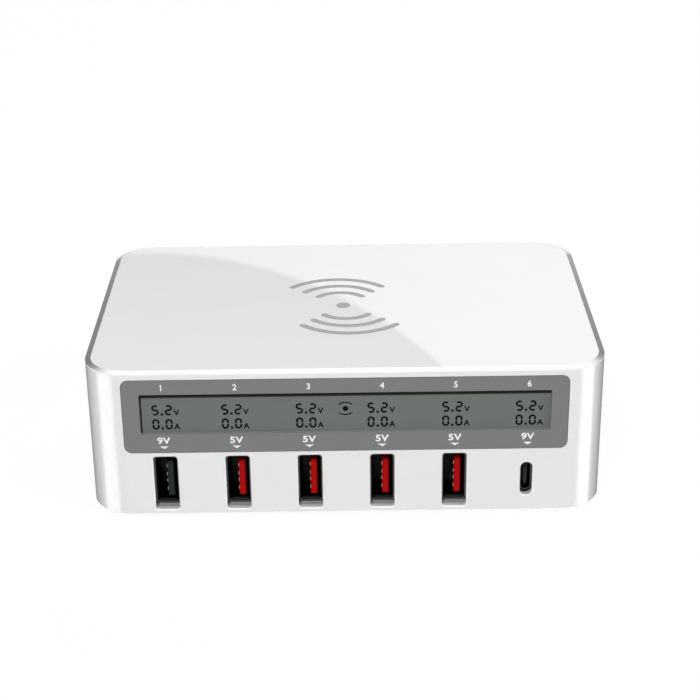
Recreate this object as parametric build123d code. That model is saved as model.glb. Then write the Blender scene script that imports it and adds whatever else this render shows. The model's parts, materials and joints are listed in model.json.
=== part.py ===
from build123d import *
import os
from math import sqrt

# Desktop charger: five upright USB-A sockets and one USB-C socket under a meter display,
# a wireless charging pad under the lid and a mains inlet at the back.
# Millimetres. +Z is up, the sockets face -Y, the origin is on the table under the middle of the case.

# Case
CASE_WIDTH = 140.0
CASE_DEPTH = 93.0
CASE_CORNER = 11.6
WALL = 2.2
BASE_PLATE = 1.8
FOOT_LIFT = 1.5  # table to the lower edge of the case

# Lid
COVER_PLATE = 1.8
BEVEL_WIDTH = 1.6
BEVEL_DROP = 0.4
RIM_LAND = 0.12  # upright edge under the bevel
SEAM_GROOVE = 0.14  # chamfer on each side of the seam
SNAP_WIDTH = 9.0
SNAP_LENGTH = 7.0
SNAP_THICK = 1.4
SNAP_HOOK = 0.9
SNAP_HOOK_TALL = 2.2
SNAP_HOOK_LAND = 0.55  # flat tip of the hook
SIDE_SNAP_SPREAD = 44.0
BACK_SNAP_SPREAD = 84.0

# Clearances
FIT = 0.15  # between parts that slide into each other
SOCKET_SETBACK = 0.15  # back of the front wall to the socket mouths
SHELF_GAP = 0.1  # socket flange to the base plate under it
ROUND_FIT = 0.05  # round a pin, a screw or a cable end

# Display
TRIM_MARGIN = 10.55  # side of the case to the trim
TRIM_THICK = 1.2
TRIM_CORNER = 2.0
TRIM_TO_SEAM = 1.75
TRIM_TO_SOCKETS = 1.37  # socket cut-outs to the trim
LABEL_BAND = 5.5  # trim below the window
TITLE_BAND = 4.2  # trim above the window
WINDOW_SIDE = 4.55
WINDOW_HEIGHT = 11.8
WINDOW_CORNER = 0.4
LCD_LAP = 1.8  # glass hidden behind the trim
LCD_PLY = 1.1
LCD_LEDGE = 1.5  # part of the front ply that the rear ply leaves free
LCD_CONNECTOR = 1.2
LCD_CONNECTOR_LENGTH = 92.0
HOLDER_RIM = 1.2
HOLDER_THICK = 3.3
DISPLAY_BOARD_THICK = 1.2
HEADER_ROOM = 1.3  # header to the socket legs on each side
HEADER_THICK = 2.5
HEADER_FOOT = 5.0
HEADER_FOOT_TALL = 1.25
HEADER_LAP = 3.0

# Socket row
SOCKET_MARGIN = 21.175  # side of the case to the middle of the end socket
USB_A_COUNT = 5
OPENING_EDGE = 0.25  # lead-in round each opening
USB_A_CUT_WIDTH = 6.6
USB_A_CUT_HEIGHT = 16.2
USB_A_CUT_CORNER = 0.9
USB_C_CUT_WIDTH = 3.3
USB_C_CUT_HEIGHT = 10.1

# USB-A socket
USB_A_MOUTH_WIDTH = 5.12
USB_A_MOUTH_HEIGHT = 12.5
USB_A_MOUTH_CORNER = 0.5
USB_A_SHEET = 0.35
USB_A_DEPTH = 13.5
FLARE_SIDE = 0.4  # outward reach of the flare on the long walls
FLARE_END = 0.7  # outward reach of the flare on the short walls
FLARE_DEPTH = 0.9
LEAF_WIDTH = 2.2
LEAF_LENGTH = 5.6
LEAF_CREST = 4.2  # root of the leaf to its deepest point
LEAF_SHEET = 0.25
LEAF_BOW = 0.45
LEAF_TIP_BOW = 0.15
LEAF_START = 3.0  # mouth to the root of the leaf
LEAF_SPREAD = 6.4
LEAF_SLOT = 0.3
USB_A_LEG_WIDTH = 1.8
USB_A_LEG_PROUD = 0.6  # leg above the port board
TONGUE_THICK = 1.84
TONGUE_HEIGHT = 11.1
TONGUE_OFFSET = 0.97  # tongue's middle to the right of the mouth's middle
TONGUE_SETBACK = 0.8  # mouth to the tip of the tongue
TONGUE_TIP = 0.35
USB_A_BLOCK = 4.0
CONTACT_WIDTH = 1.0
CONTACT_THICK = 0.35
CONTACT_SUNK = 0.15
CONTACT_SETBACK = 0.6
CONTACT_INNER_SPREAD = 2.0
CONTACT_OUTER_SPREAD = 7.0
TAIL_START = 0.8
TAIL_PITCH = 1.2
TAIL_WIDTH = 0.6

# USB-C socket
USB_C_MOUTH_WIDTH = 2.56
USB_C_MOUTH_HEIGHT = 8.34
USB_C_SHEET = 0.35
USB_C_DEPTH = 8.6
USB_C_BLOCK = 2.6
USB_C_TONGUE_THICK = 0.7
USB_C_TONGUE_HEIGHT = 6.69
USB_C_TONGUE_SETBACK = 1.0
USB_C_CONTACTS = 12
USB_C_CONTACT_PITCH = 0.5
USB_C_CONTACT_WIDTH = 0.25
USB_C_CONTACT_THICK = 0.08
USB_C_CONTACT_LENGTH = 3.8
USB_C_BOARD_THICK = 1.0
USB_C_BOARD_DEPTH = 14.0
USB_C_BOARD_SETBACK = 0.6

# Port board
BOARD_THICK = 1.6
BOARD_CORNER = 1.3
PORT_BOARD_MARGIN = 8.0  # outermost socket to the end of the board
PORT_BOARD_SETBACK = 0.5  # flange to the front edge of the board
POST_RADIUS = 2.6
CONVERTER_COIL = 7.0
CONVERTER_COIL_CORNER = 1.4
CONVERTER_COIL_HEIGHT = 4.0
CONVERTER_CHIP_LENGTH = 5.0
CONVERTER_CHIP_WIDTH = 4.0
CONVERTER_CHIP_HEIGHT = 1.6
CONVERTER_GAP = 2.0

# Main board
MAIN_BOARD_DEPTH = 53.0
MAIN_BOARD_CLEAR = 1.0  # corner boss to the end of the board
MAIN_BOARD_REAR = 6.0  # rear wall to the board
MAIN_BOARD_RISE = 3.4  # base plate to the board
MAIN_POST_INSET = 5.0
LINK_OVERLAP = 5.0  # port board over the front of the main board
LINK_PINS = 8
LINK_PITCH = 2.54
LINK_PIN = 1.0

# Mains inlet
INLET_FROM_SIDE = 23.0  # end of the main board to the inlet's middle
INLET_WIDTH = 20.6
INLET_HEIGHT = 12.0
INLET_CORNER = 1.5
INLET_DEPTH = 16.0
INLET_SHOULDER = 1.6
INLET_SHOULDER_LAP = 1.7
INLET_SOCKET_DEPTH = 12.0
INLET_LOBE = 3.75
INLET_WAIST = 6.2
INLET_PIN_SPREAD = 8.6
INLET_PIN_RADIUS = 1.2
INLET_PIN_LENGTH = 9.5
INLET_PIN_TAIL = 3.0
INLET_TAG_WIDTH = 1.6
INLET_TAG_THICK = 0.8

# Parts of the supply, placed from the ends of the main board and from the port board's rear edge
FUSE_RADIUS = 4.2
FUSE_HEIGHT = 8.0
FUSE_FROM_SIDE = 9.5
FUSE_CLEAR = 1.5  # port board to the fuse
CHOKE_OUTER = 8.0
CHOKE_INNER = 4.4
CHOKE_CORE_HEIGHT = 6.0
CHOKE_WIRE = 1.2
CHOKE_WINDING_ANGLE = 130.0
CHOKE_FROM_SIDE = 11.5
CHOKE_CLEAR = 0.9  # fuse to the choke
FILTER_CAP_LENGTH = 17.0
FILTER_CAP_WIDTH = 9.0
FILTER_CAP_HEIGHT = 15.0
FILTER_CAP_CORNER = 0.8
FILTER_CAP_CLEAR = 3.1  # inlet shoulder to the capacitor
FILTER_CAP_REAR = 1.0  # rear edge of the board to the capacitor
BRIDGE_LENGTH = 15.0
BRIDGE_THICK = 3.5
BRIDGE_HEIGHT = 11.0
BRIDGE_BEVEL = 2.5
BRIDGE_FROM_SIDE = 22.7
BRIDGE_CLEAR = 1.75  # port board to the bridge
BULK_CAP_RADIUS = 7.5
BULK_CAP_HEIGHT = 26.0
BULK_CAP_EDGE = 0.8
BULK_CAP_PITCH = 16.0
BULK_CAP_REAR = 9.0
OUTPUT_CAP_RADIUS = 4.6
OUTPUT_CAP_HEIGHT = 18.0
OUTPUT_CAP_COLUMNS = 2
OUTPUT_CAP_ROWS = 3
OUTPUT_CAP_PITCH = 11.0
OUTPUT_CAP_FROM_SIDE = 7.0
OUTPUT_CAP_REAR = 14.0

# Transformer
CORE_WIDTH = 30.0
CORE_HEIGHT = 24.0
CORE_DEPTH = 11.0
CORE_LEG = 5.0
CORE_MIDDLE_LEG = 9.0
CORE_YOKE = 5.0
BOBBIN_TUBE = 1.0
BOBBIN_FLANGE = 1.0
BOBBIN_DEPTH = 24.0
BOBBIN_RAIL = 5.0
WINDING_INSET = 0.8
WINDING_CORNER = 2.5
TRANSFORMER_RISE = 2.5
TRANSFORMER_CLEAR = 1.0  # port board to the bobbin

# Heat sinks and the devices on them
SINK_PLATE = 1.8
SINK_DEPTH = 18.0
SINK_HEIGHT = 22.0
SINK_FINS = 4
SINK_FIN = 1.2
SINK_FIN_REACH = 2.2
SINK_GAP = 1.2  # transformer to the fins
DEVICE_WIDTH = 10.0
DEVICE_TAB = 1.3
DEVICE_TAB_HEIGHT = 15.0
DEVICE_BODY = 3.2
DEVICE_BODY_HEIGHT = 9.0
DEVICE_HOLE = 1.8
DEVICE_LEG = 0.8
DEVICE_LEG_PITCH = 2.54
DEVICE_RISE = 4.0

# Wireless pad
COIL_OUTER = 22.0
COIL_INNER = 10.0
COIL_THICK = 1.2
SHIELD_THICK = 0.8
PAD_RING_GAP = 0.4
PAD_RING_WALL = 1.2
PAD_BOARD_WIDTH = 24.0
PAD_BOARD_DEPTH = 34.0
PAD_BOARD_THICK = 1.2
PAD_BOARD_CORNER = 1.0
PAD_BOARD_GAP = 3.0
PAD_POST = 3.0
PAD_POST_RADIUS = 2.0
PAD_POST_INSET = 3.0
PAD_STAKE_RADIUS = 0.9
PAD_LEAD = 0.8
PAD_LEAD_SPREAD = 5.0
PAD_LEAD_LAP = 2.0

# Feet, vents and screws
FOOT_RADIUS = 5.5
FOOT_SUNK = 0.8
FOOT_EDGE = 0.4
FOOT_SIDE = 20.0  # outside of the case to the middle of a foot
FOOT_FRONT = 14.0  # front of the case to the middle of a foot
VENT_COUNT = 11
VENT_PITCH = 5.0
VENT_WIDTH = 2.0
VENT_CORNER = 0.6
VENT_LENGTH = 26.0
VENT_Y = 4.0  # middle of the vents behind the middle of the case
BOSS_HEIGHT = 12.0
BOSS_BLEND = 0.5  # how far a boss runs into the corner
SCREW_RADIUS = 1.25
SCREW_HEAD_RADIUS = 2.3
SCREW_HEAD = 0.8
SCREW_SINK = 0.9
SCREW_RIM = 0.8  # base left between a screw recess and the corner
SCREW_BITE = 8.0
SCREW_HOLE_SPARE = 1.0
SCREW_SLOT = 0.7
SCREW_SLOT_DEEP = 0.45
BOARD_SCREW_RADIUS = 1.0
BOARD_SCREW_HEAD_RADIUS = 2.2
BOARD_SCREW_HEAD = 1.3
BOARD_SCREW_BITE = 2.4
PASS_HOLE = 0.35  # screw to the hole that it passes through

# Planes and levels
FRONT = -CASE_DEPTH / 2
REAR = CASE_DEPTH / 2
INSIDE_WIDTH = CASE_WIDTH - 2 * WALL
INSIDE_DEPTH = CASE_DEPTH - 2 * WALL
INSIDE_CORNER = CASE_CORNER - WALL
INSIDE_FRONT = FRONT + WALL
INSIDE_REAR = REAR - WALL
CASE_BOTTOM = FOOT_LIFT
BASE_TOP = CASE_BOTTOM + BASE_PLATE

USB_A_OUT_WIDTH = USB_A_MOUTH_WIDTH + 2 * USB_A_SHEET
USB_A_OUT_HEIGHT = USB_A_MOUTH_HEIGHT + 2 * USB_A_SHEET
FLANGE_WIDTH = USB_A_OUT_WIDTH + 2 * FLARE_SIDE
FLANGE_HEIGHT = USB_A_OUT_HEIGHT + 2 * FLARE_END
FLANGE_CORNER = USB_A_MOUTH_CORNER + USB_A_SHEET + FLARE_SIDE
SOCKET_Z = BASE_TOP + SHELF_GAP + FLANGE_HEIGHT / 2
SOCKET_FACE = INSIDE_FRONT + SOCKET_SETBACK
SOCKET_NECK = SOCKET_FACE + FLARE_DEPTH
USB_A_BACK = SOCKET_FACE + USB_A_DEPTH
TONGUE_FRONT = SOCKET_FACE + TONGUE_SETBACK
SOCKET_PITCH = (CASE_WIDTH - 2 * SOCKET_MARGIN) / USB_A_COUNT
SOCKET_X = [(i - USB_A_COUNT / 2) * SOCKET_PITCH for i in range(USB_A_COUNT + 1)]
USB_C_X = SOCKET_X[-1]
USB_C_OUT_WIDTH = USB_C_MOUTH_WIDTH + 2 * USB_C_SHEET
USB_C_OUT_HEIGHT = USB_C_MOUTH_HEIGHT + 2 * USB_C_SHEET
USB_C_BACK = SOCKET_FACE + USB_C_DEPTH

TRIM_BOTTOM = SOCKET_Z + USB_A_CUT_HEIGHT / 2 + TRIM_TO_SOCKETS
WINDOW_BOTTOM = TRIM_BOTTOM + LABEL_BAND
TRIM_TOP = WINDOW_BOTTOM + WINDOW_HEIGHT + TITLE_BAND
SEAM = TRIM_TOP + TRIM_TO_SEAM
TOP_FACE = SEAM + RIM_LAND + BEVEL_DROP
COVER_UNDERSIDE = TOP_FACE - COVER_PLATE

TRIM_WIDTH = CASE_WIDTH - 2 * TRIM_MARGIN
TRIM_HEIGHT = TRIM_TOP - TRIM_BOTTOM
TRIM_Z = (TRIM_TOP + TRIM_BOTTOM) / 2
WINDOW_WIDTH = TRIM_WIDTH - 2 * WINDOW_SIDE
WINDOW_Z = WINDOW_BOTTOM + WINDOW_HEIGHT / 2
LCD_FRONT = FRONT + TRIM_THICK
LCD_WIDTH = WINDOW_WIDTH + 2 * LCD_LAP
LCD_HEIGHT = WINDOW_HEIGHT + 2 * LCD_LAP
LCD_CUT_WIDTH = LCD_WIDTH + 2 * FIT
LCD_CUT_HEIGHT = LCD_HEIGHT + 2 * FIT
HOLDER_WIDTH = LCD_CUT_WIDTH + 2 * HOLDER_RIM
HOLDER_HEIGHT = LCD_CUT_HEIGHT + 2 * HOLDER_RIM
HOLDER_BACK = INSIDE_FRONT + HOLDER_THICK
DISPLAY_BACK = HOLDER_BACK + DISPLAY_BOARD_THICK
HEADER_LENGTH = SOCKET_PITCH - USB_A_OUT_WIDTH - 2 * HEADER_ROOM

BOSS_INSET = SCREW_HEAD_RADIUS + PASS_HOLE + SCREW_RIM + FIT
BOSS_RADIUS = BOSS_INSET + BOSS_BLEND
BOSS_REACH = (INSIDE_CORNER - BOSS_INSET) / sqrt(2)
BOSS_X = CASE_WIDTH / 2 - CASE_CORNER + BOSS_REACH
BOSS_Y = CASE_DEPTH / 2 - CASE_CORNER + BOSS_REACH
BOSS_SPOTS = [(x, y) for x in (-BOSS_X, BOSS_X) for y in (-BOSS_Y, BOSS_Y)]

PORT_BOARD_BOTTOM = SOCKET_Z + USB_A_OUT_HEIGHT / 2
PORT_BOARD_TOP = PORT_BOARD_BOTTOM + BOARD_THICK
MAIN_BOARD_BOTTOM = BASE_TOP + MAIN_BOARD_RISE
MAIN_BOARD_TOP = MAIN_BOARD_BOTTOM + BOARD_THICK
MAIN_BOARD_RIGHT = BOSS_X - BOSS_RADIUS - MAIN_BOARD_CLEAR
MAIN_BOARD_LEFT = -MAIN_BOARD_RIGHT
MAIN_BOARD_WIDTH = MAIN_BOARD_RIGHT - MAIN_BOARD_LEFT
MAIN_BOARD_BACK = INSIDE_REAR - MAIN_BOARD_REAR
MAIN_BOARD_FRONT = MAIN_BOARD_BACK - MAIN_BOARD_DEPTH
PORT_BOARD_FRONT = SOCKET_NECK + PORT_BOARD_SETBACK
PORT_BOARD_BACK = MAIN_BOARD_FRONT + LINK_OVERLAP
PORT_BOARD_WIDTH = 2 * (USB_C_X + PORT_BOARD_MARGIN)

INLET_X = MAIN_BOARD_RIGHT - INLET_FROM_SIDE
INLET_Z = MAIN_BOARD_TOP + INLET_HEIGHT / 2
FUSE_SPOT = (MAIN_BOARD_RIGHT - FUSE_FROM_SIDE, PORT_BOARD_BACK + FUSE_CLEAR + FUSE_RADIUS)
CHOKE_REACH = CHOKE_OUTER + CHOKE_WIRE
CHOKE_X = MAIN_BOARD_RIGHT - CHOKE_FROM_SIDE
CHOKE_Y = FUSE_SPOT[1] + FUSE_RADIUS + CHOKE_CLEAR + CHOKE_REACH
BRIDGE_X = MAIN_BOARD_RIGHT - BRIDGE_FROM_SIDE
BRIDGE_Y = PORT_BOARD_BACK + BRIDGE_CLEAR + BRIDGE_THICK / 2
FILTER_CAP_RIGHT = INLET_X - INLET_WIDTH / 2 - INLET_SHOULDER_LAP - FILTER_CAP_CLEAR
FILTER_CAP_LEFT = FILTER_CAP_RIGHT - FILTER_CAP_WIDTH
OUTPUT_CAPS_WIDTH = (OUTPUT_CAP_COLUMNS - 1) * OUTPUT_CAP_PITCH
OUTPUT_CAPS_RIGHT = MAIN_BOARD_LEFT + OUTPUT_CAP_FROM_SIDE + OUTPUT_CAPS_WIDTH + OUTPUT_CAP_RADIUS
BULK_CAPS_X = (OUTPUT_CAPS_RIGHT + FILTER_CAP_LEFT) / 2
TRANSFORMER_Y = PORT_BOARD_BACK + TRANSFORMER_CLEAR + BOBBIN_DEPTH / 2
PAD_RING_INNER = COIL_OUTER + PAD_RING_GAP
PAD_RING_OUTER = PAD_RING_INNER + PAD_RING_WALL
PAD_BOARD_TOP = COVER_UNDERSIDE - PAD_POST
PAD_BOARD_LEFT = PAD_RING_OUTER + PAD_BOARD_GAP
PAD_POST_Y = PAD_BOARD_DEPTH / 2 - PAD_POST_INSET
PAD_POSTS = [
    (PAD_BOARD_LEFT + PAD_POST_INSET, -PAD_POST_Y),
    (PAD_BOARD_LEFT + PAD_BOARD_WIDTH - PAD_POST_INSET, PAD_POST_Y),
]

SCREW_SEAT = CASE_BOTTOM + SCREW_SINK
FOOT_X = CASE_WIDTH / 2 - FOOT_SIDE
FOOT_Y = CASE_DEPTH / 2 - FOOT_FRONT
FEET = {
    "foot_front_left": (-FOOT_X, -FOOT_Y),
    "foot_front_right": (FOOT_X, -FOOT_Y),
    "foot_back_left": (-FOOT_X, FOOT_Y),
    "foot_back_right": (FOOT_X, FOOT_Y),
}
# Screw posts between the end sockets, just in front of the main board
PORT_POST_X = SOCKET_X[-1] - SOCKET_PITCH / 2
PORT_POST_Y = MAIN_BOARD_FRONT - POST_RADIUS - 2 * FIT
PORT_POSTS = [(-PORT_POST_X, PORT_POST_Y), (PORT_POST_X, PORT_POST_Y)]
# The main board stands on a screw post or a plain rib in each corner
MAIN_POST_X = MAIN_BOARD_RIGHT - MAIN_POST_INSET
MAIN_POST_FRONT = MAIN_BOARD_FRONT + MAIN_POST_INSET
MAIN_POST_BACK = MAIN_BOARD_BACK - MAIN_POST_INSET
MAIN_POSTS = [(-MAIN_POST_X, MAIN_POST_FRONT), (MAIN_POST_X, MAIN_POST_BACK)]
MAIN_RIBS = [(MAIN_POST_X, MAIN_POST_FRONT), (-MAIN_POST_X, MAIN_POST_BACK)]


def block(x_span, y_span, z_span):
    """Box between two limits along each axis."""
    (x0, x1), (y0, y1), (z0, z1) = x_span, y_span, z_span
    return Pos((x0 + x1) / 2, (y0 + y1) / 2, (z0 + z1) / 2) * Box(x1 - x0, y1 - y0, z1 - z0)


def around(middle, size):
    """Limits of a size centred on a middle."""
    return middle - size / 2, middle + size / 2


def raised(sketch, z0, z1):
    """Sketch drawn in plan, raised from z0 to z1."""
    return extrude(Pos(0, 0, z0) * sketch, z1 - z0)


def post(spot, radius, z0, z1):
    """Upright cylinder on a spot of the plan."""
    return raised(Pos(*spot) * Circle(radius), z0, z1)


def facing(x, y, z):
    """Drawing plane seen from the front of the case: X to the right, Z up."""
    return Plane((x, y, z), x_dir=(1, 0, 0), z_dir=(0, -1, 0))


def pushed(sketch, x, z, y0, y1):
    """Sketch seen from the front, pushed from y0 back to y1."""
    return extrude(facing(x, y0, z) * sketch, y0 - y1)


def polygon(points):
    """Flat face inside a closed run of points."""
    return make_face(Polyline(*points, close=True))


def clipped(width, height, cut):
    """Rectangle with its corners cut off."""
    return chamfer(Rectangle(width, height).vertices(), cut)


def group(solids):
    """Several separate solids as one piece."""
    return Compound(children=list(solids))


def snap_profile():
    """Section of a lid snap: X is outward, Y is up from the underside of the lid."""
    catch = -(SNAP_LENGTH - SNAP_HOOK_TALL)
    return polygon([
        (-SNAP_THICK, SEAM - COVER_UNDERSIDE),
        (0, SEAM - COVER_UNDERSIDE),
        (0, catch),
        (SNAP_HOOK, catch),
        (SNAP_HOOK, catch - SNAP_HOOK_LAND),
        (0, -SNAP_LENGTH),
        (-SNAP_THICK, -SNAP_LENGTH),
    ])


def at_snaps(shape):
    """Copies of a shape at each snap; the shape's +X points out through the wall."""
    side = INSIDE_WIDTH / 2 - FIT
    back = INSIDE_DEPTH / 2 - FIT
    copies = []
    for along in around(0, SIDE_SNAP_SPREAD):
        copies.append(Pos(side, along, 0) * shape)
        copies.append(Pos(-side, along, 0) * Rot(0, 0, 180) * shape)
    for along in around(0, BACK_SNAP_SPREAD):
        copies.append(Pos(along, back, 0) * Rot(0, 0, 90) * shape)
    return copies


def opening(cut, rim, x):
    """Hole through the front wall for one socket, with a lead-in from a wider rim."""
    lead_in = [
        facing(x, FRONT, SOCKET_Z) * rim,
        facing(x, FRONT + OPENING_EDGE, SOCKET_Z) * cut,
    ]
    return loft(lead_in, ruled=True) + pushed(cut, x, SOCKET_Z, FRONT, INSIDE_FRONT)


def make_main_housing():
    """Four walls with rounded corners, the front cut for the display and the sockets."""
    plan = RectangleRounded(CASE_WIDTH, CASE_DEPTH, CASE_CORNER)
    hollow = RectangleRounded(INSIDE_WIDTH, INSIDE_DEPTH, INSIDE_CORNER)
    housing = raised(plan, CASE_BOTTOM, SEAM)
    top_rim = housing.edges().group_by(Axis.Z)[-1]
    housing = chamfer(top_rim, SEAM_GROOVE)
    housing -= raised(hollow, CASE_BOTTOM, SEAM)
    for spot in BOSS_SPOTS:
        housing += post(spot, BOSS_RADIUS, BASE_TOP, BASE_TOP + BOSS_HEIGHT)
    for spot in BOSS_SPOTS:
        pilot_top = BASE_TOP + SCREW_BITE + SCREW_HOLE_SPARE
        housing -= post(spot, SCREW_RADIUS + ROUND_FIT, BASE_TOP, pilot_top)

    pocket = RectangleRounded(TRIM_WIDTH + 2 * FIT, TRIM_HEIGHT + 2 * FIT, TRIM_CORNER + FIT)
    housing -= pushed(pocket, 0, TRIM_Z, FRONT, FRONT + TRIM_THICK)
    housing -= pushed(Rectangle(LCD_CUT_WIDTH, LCD_CUT_HEIGHT), 0, WINDOW_Z, FRONT, INSIDE_FRONT)
    wider = 2 * OPENING_EDGE
    usb_a_cut = RectangleRounded(USB_A_CUT_WIDTH, USB_A_CUT_HEIGHT, USB_A_CUT_CORNER)
    usb_a_rim = RectangleRounded(
        USB_A_CUT_WIDTH + wider, USB_A_CUT_HEIGHT + wider, USB_A_CUT_CORNER + OPENING_EDGE
    )
    for x in SOCKET_X[:USB_A_COUNT]:
        housing -= opening(usb_a_cut, usb_a_rim, x)
    usb_c_cut = SlotOverall(USB_C_CUT_HEIGHT, USB_C_CUT_WIDTH, rotation=90)
    usb_c_rim = SlotOverall(USB_C_CUT_HEIGHT + wider, USB_C_CUT_WIDTH + wider, rotation=90)
    housing -= opening(usb_c_cut, usb_c_rim, USB_C_X)

    inlet_cut = RectangleRounded(INLET_WIDTH + 2 * FIT, INLET_HEIGHT + 2 * FIT, INLET_CORNER + FIT)
    housing -= pushed(inlet_cut, INLET_X, INLET_Z, INSIDE_REAR, REAR)
    catch = COVER_UNDERSIDE - SNAP_LENGTH + SNAP_HOOK_TALL
    catch_pocket = block(
        (-SNAP_THICK, SNAP_HOOK + FIT),
        around(0, SNAP_WIDTH + 4 * FIT),
        (catch - SNAP_HOOK_TALL, catch + FIT),
    )
    for cut in at_snaps(catch_pocket):
        housing -= cut
    return housing


def make_top_cover():
    """Lid with a bevelled edge, a step that drops into the walls, snaps and the pad's ring and posts."""
    plan = RectangleRounded(CASE_WIDTH, CASE_DEPTH, CASE_CORNER)
    face = RectangleRounded(
        CASE_WIDTH - 2 * BEVEL_WIDTH, CASE_DEPTH - 2 * BEVEL_WIDTH, CASE_CORNER - BEVEL_WIDTH
    )
    bevel_foot = SEAM + RIM_LAND
    groove_face = RectangleRounded(
        CASE_WIDTH - 2 * SEAM_GROOVE, CASE_DEPTH - 2 * SEAM_GROOVE, CASE_CORNER - SEAM_GROOVE
    )
    cover = loft([Pos(0, 0, SEAM) * groove_face, Pos(0, 0, bevel_foot) * plan], ruled=True)
    cover += loft([Pos(0, 0, bevel_foot) * plan, Pos(0, 0, TOP_FACE) * face], ruled=True)
    step = RectangleRounded(INSIDE_WIDTH - 2 * FIT, INSIDE_DEPTH - 2 * FIT, INSIDE_CORNER - FIT)
    cover += raised(step, COVER_UNDERSIDE, SEAM)
    snap = extrude(Plane.XZ * snap_profile(), SNAP_WIDTH / 2, both=True)
    for tab in at_snaps(Pos(0, 0, COVER_UNDERSIDE) * snap):
        cover += tab

    ring_foot = COVER_UNDERSIDE - COIL_THICK - SHIELD_THICK
    ring = raised(Circle(PAD_RING_OUTER) - Circle(PAD_RING_INNER), ring_foot, COVER_UNDERSIDE)
    lead_gap = block(
        (0, PAD_RING_OUTER + PAD_RING_WALL),
        around(0, PAD_LEAD_SPREAD + 2 * PAD_LEAD),
        (ring_foot, COVER_UNDERSIDE),
    )
    cover += ring - lead_gap
    for spot in PAD_POSTS:
        cover += post(spot, PAD_POST_RADIUS, PAD_BOARD_TOP, COVER_UNDERSIDE)
        cover += post(spot, PAD_STAKE_RADIUS, PAD_BOARD_TOP - PAD_BOARD_THICK, PAD_BOARD_TOP)
    return cover


def make_base_cover():
    """Floor of the case: vents, foot recesses, board posts and a rest under each socket."""
    plan = RectangleRounded(INSIDE_WIDTH - 2 * FIT, INSIDE_DEPTH - 2 * FIT, INSIDE_CORNER - FIT)
    base = raised(plan, CASE_BOTTOM, BASE_TOP)
    for x in SOCKET_X[:USB_A_COUNT]:
        base += block(
            around(x, USB_A_OUT_WIDTH),
            (SOCKET_NECK + FLARE_DEPTH, USB_A_BACK - FLARE_DEPTH),
            (BASE_TOP, SOCKET_Z - USB_A_OUT_HEIGHT / 2),
        )
    for spots, top in ((PORT_POSTS, PORT_BOARD_BOTTOM), (MAIN_POSTS, MAIN_BOARD_BOTTOM)):
        for spot in spots:
            base += post(spot, POST_RADIUS, BASE_TOP, top)
            base -= post(spot, BOARD_SCREW_RADIUS + ROUND_FIT, BASE_TOP, top)
    for x, y in MAIN_RIBS:
        rib = 2 * POST_RADIUS
        base += block(around(x, rib), around(y, rib), (BASE_TOP, MAIN_BOARD_BOTTOM))
    for spot in BOSS_SPOTS:
        base -= post(spot, SCREW_RADIUS + PASS_HOLE, CASE_BOTTOM, BASE_TOP)
        base -= post(spot, SCREW_HEAD_RADIUS + PASS_HOLE, CASE_BOTTOM, SCREW_SEAT)
    for spot in FEET.values():
        base -= post(spot, FOOT_RADIUS + FIT, CASE_BOTTOM, CASE_BOTTOM + FOOT_SUNK)
    slot = clipped(VENT_WIDTH, VENT_LENGTH, VENT_CORNER)
    for place in GridLocations(VENT_PITCH, 0, VENT_COUNT, 1):
        base -= raised(Pos(0, VENT_Y) * place * slot, CASE_BOTTOM, BASE_TOP)
    return base


def make_foot(spot):
    """Rubber disc pressed into its recess, with a softened edge on the table side."""
    foot = post(spot, FOOT_RADIUS, 0, CASE_BOTTOM + FOOT_SUNK)
    return chamfer(foot.edges().group_by(Axis.Z)[0], FOOT_EDGE)


def make_case_screws():
    """Self-tapping screws with a cross recess, from below into the corner bosses."""
    screws = []
    for x, y in BOSS_SPOTS:
        head_bottom = SCREW_SEAT - SCREW_HEAD
        screw = post((x, y), SCREW_HEAD_RADIUS, head_bottom, SCREW_SEAT)
        screw += post((x, y), SCREW_RADIUS, SCREW_SEAT, BASE_TOP + SCREW_BITE)
        recess = (head_bottom, head_bottom + SCREW_SLOT_DEEP)
        screw -= block(around(x, 2 * SCREW_RADIUS), around(y, SCREW_SLOT), recess)
        screw -= block(around(x, SCREW_SLOT), around(y, 2 * SCREW_RADIUS), recess)
        screws.append(screw)
    return group(screws)


def make_board_screws():
    """Hexagon-head screws that hold both boards on the posts of the base."""
    screws = []
    seats = [(spot, PORT_BOARD_TOP) for spot in PORT_POSTS]
    seats += [(spot, MAIN_BOARD_TOP) for spot in MAIN_POSTS]
    for spot, seat in seats:
        hexagon = Pos(*spot) * RegularPolygon(BOARD_SCREW_HEAD_RADIUS, 6)
        screw = raised(hexagon, seat, seat + BOARD_SCREW_HEAD)
        screw += post(spot, BOARD_SCREW_RADIUS, seat - BOARD_THICK - BOARD_SCREW_BITE, seat)
        screws.append(screw)
    return group(screws)


def make_display_trim():
    """Flat plate let into the front wall, with the display window."""
    plate = RectangleRounded(TRIM_WIDTH, TRIM_HEIGHT, TRIM_CORNER)
    window = RectangleRounded(WINDOW_WIDTH, WINDOW_HEIGHT, WINDOW_CORNER)
    trim = pushed(plate, 0, TRIM_Z, FRONT, FRONT + TRIM_THICK)
    return trim - pushed(window, 0, WINDOW_Z, FRONT, FRONT + TRIM_THICK)


def make_lcd_glass():
    """LCD cell of two plies; the front ply is taller and leaves a contact ledge above and below."""
    front_ply = pushed(Rectangle(LCD_WIDTH, LCD_HEIGHT), 0, WINDOW_Z, LCD_FRONT, LCD_FRONT + LCD_PLY)
    rear_sketch = Rectangle(LCD_WIDTH, LCD_HEIGHT - 2 * LCD_LEDGE)
    return front_ply + pushed(rear_sketch, 0, WINDOW_Z, LCD_FRONT + LCD_PLY, LCD_FRONT + 2 * LCD_PLY)


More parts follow.
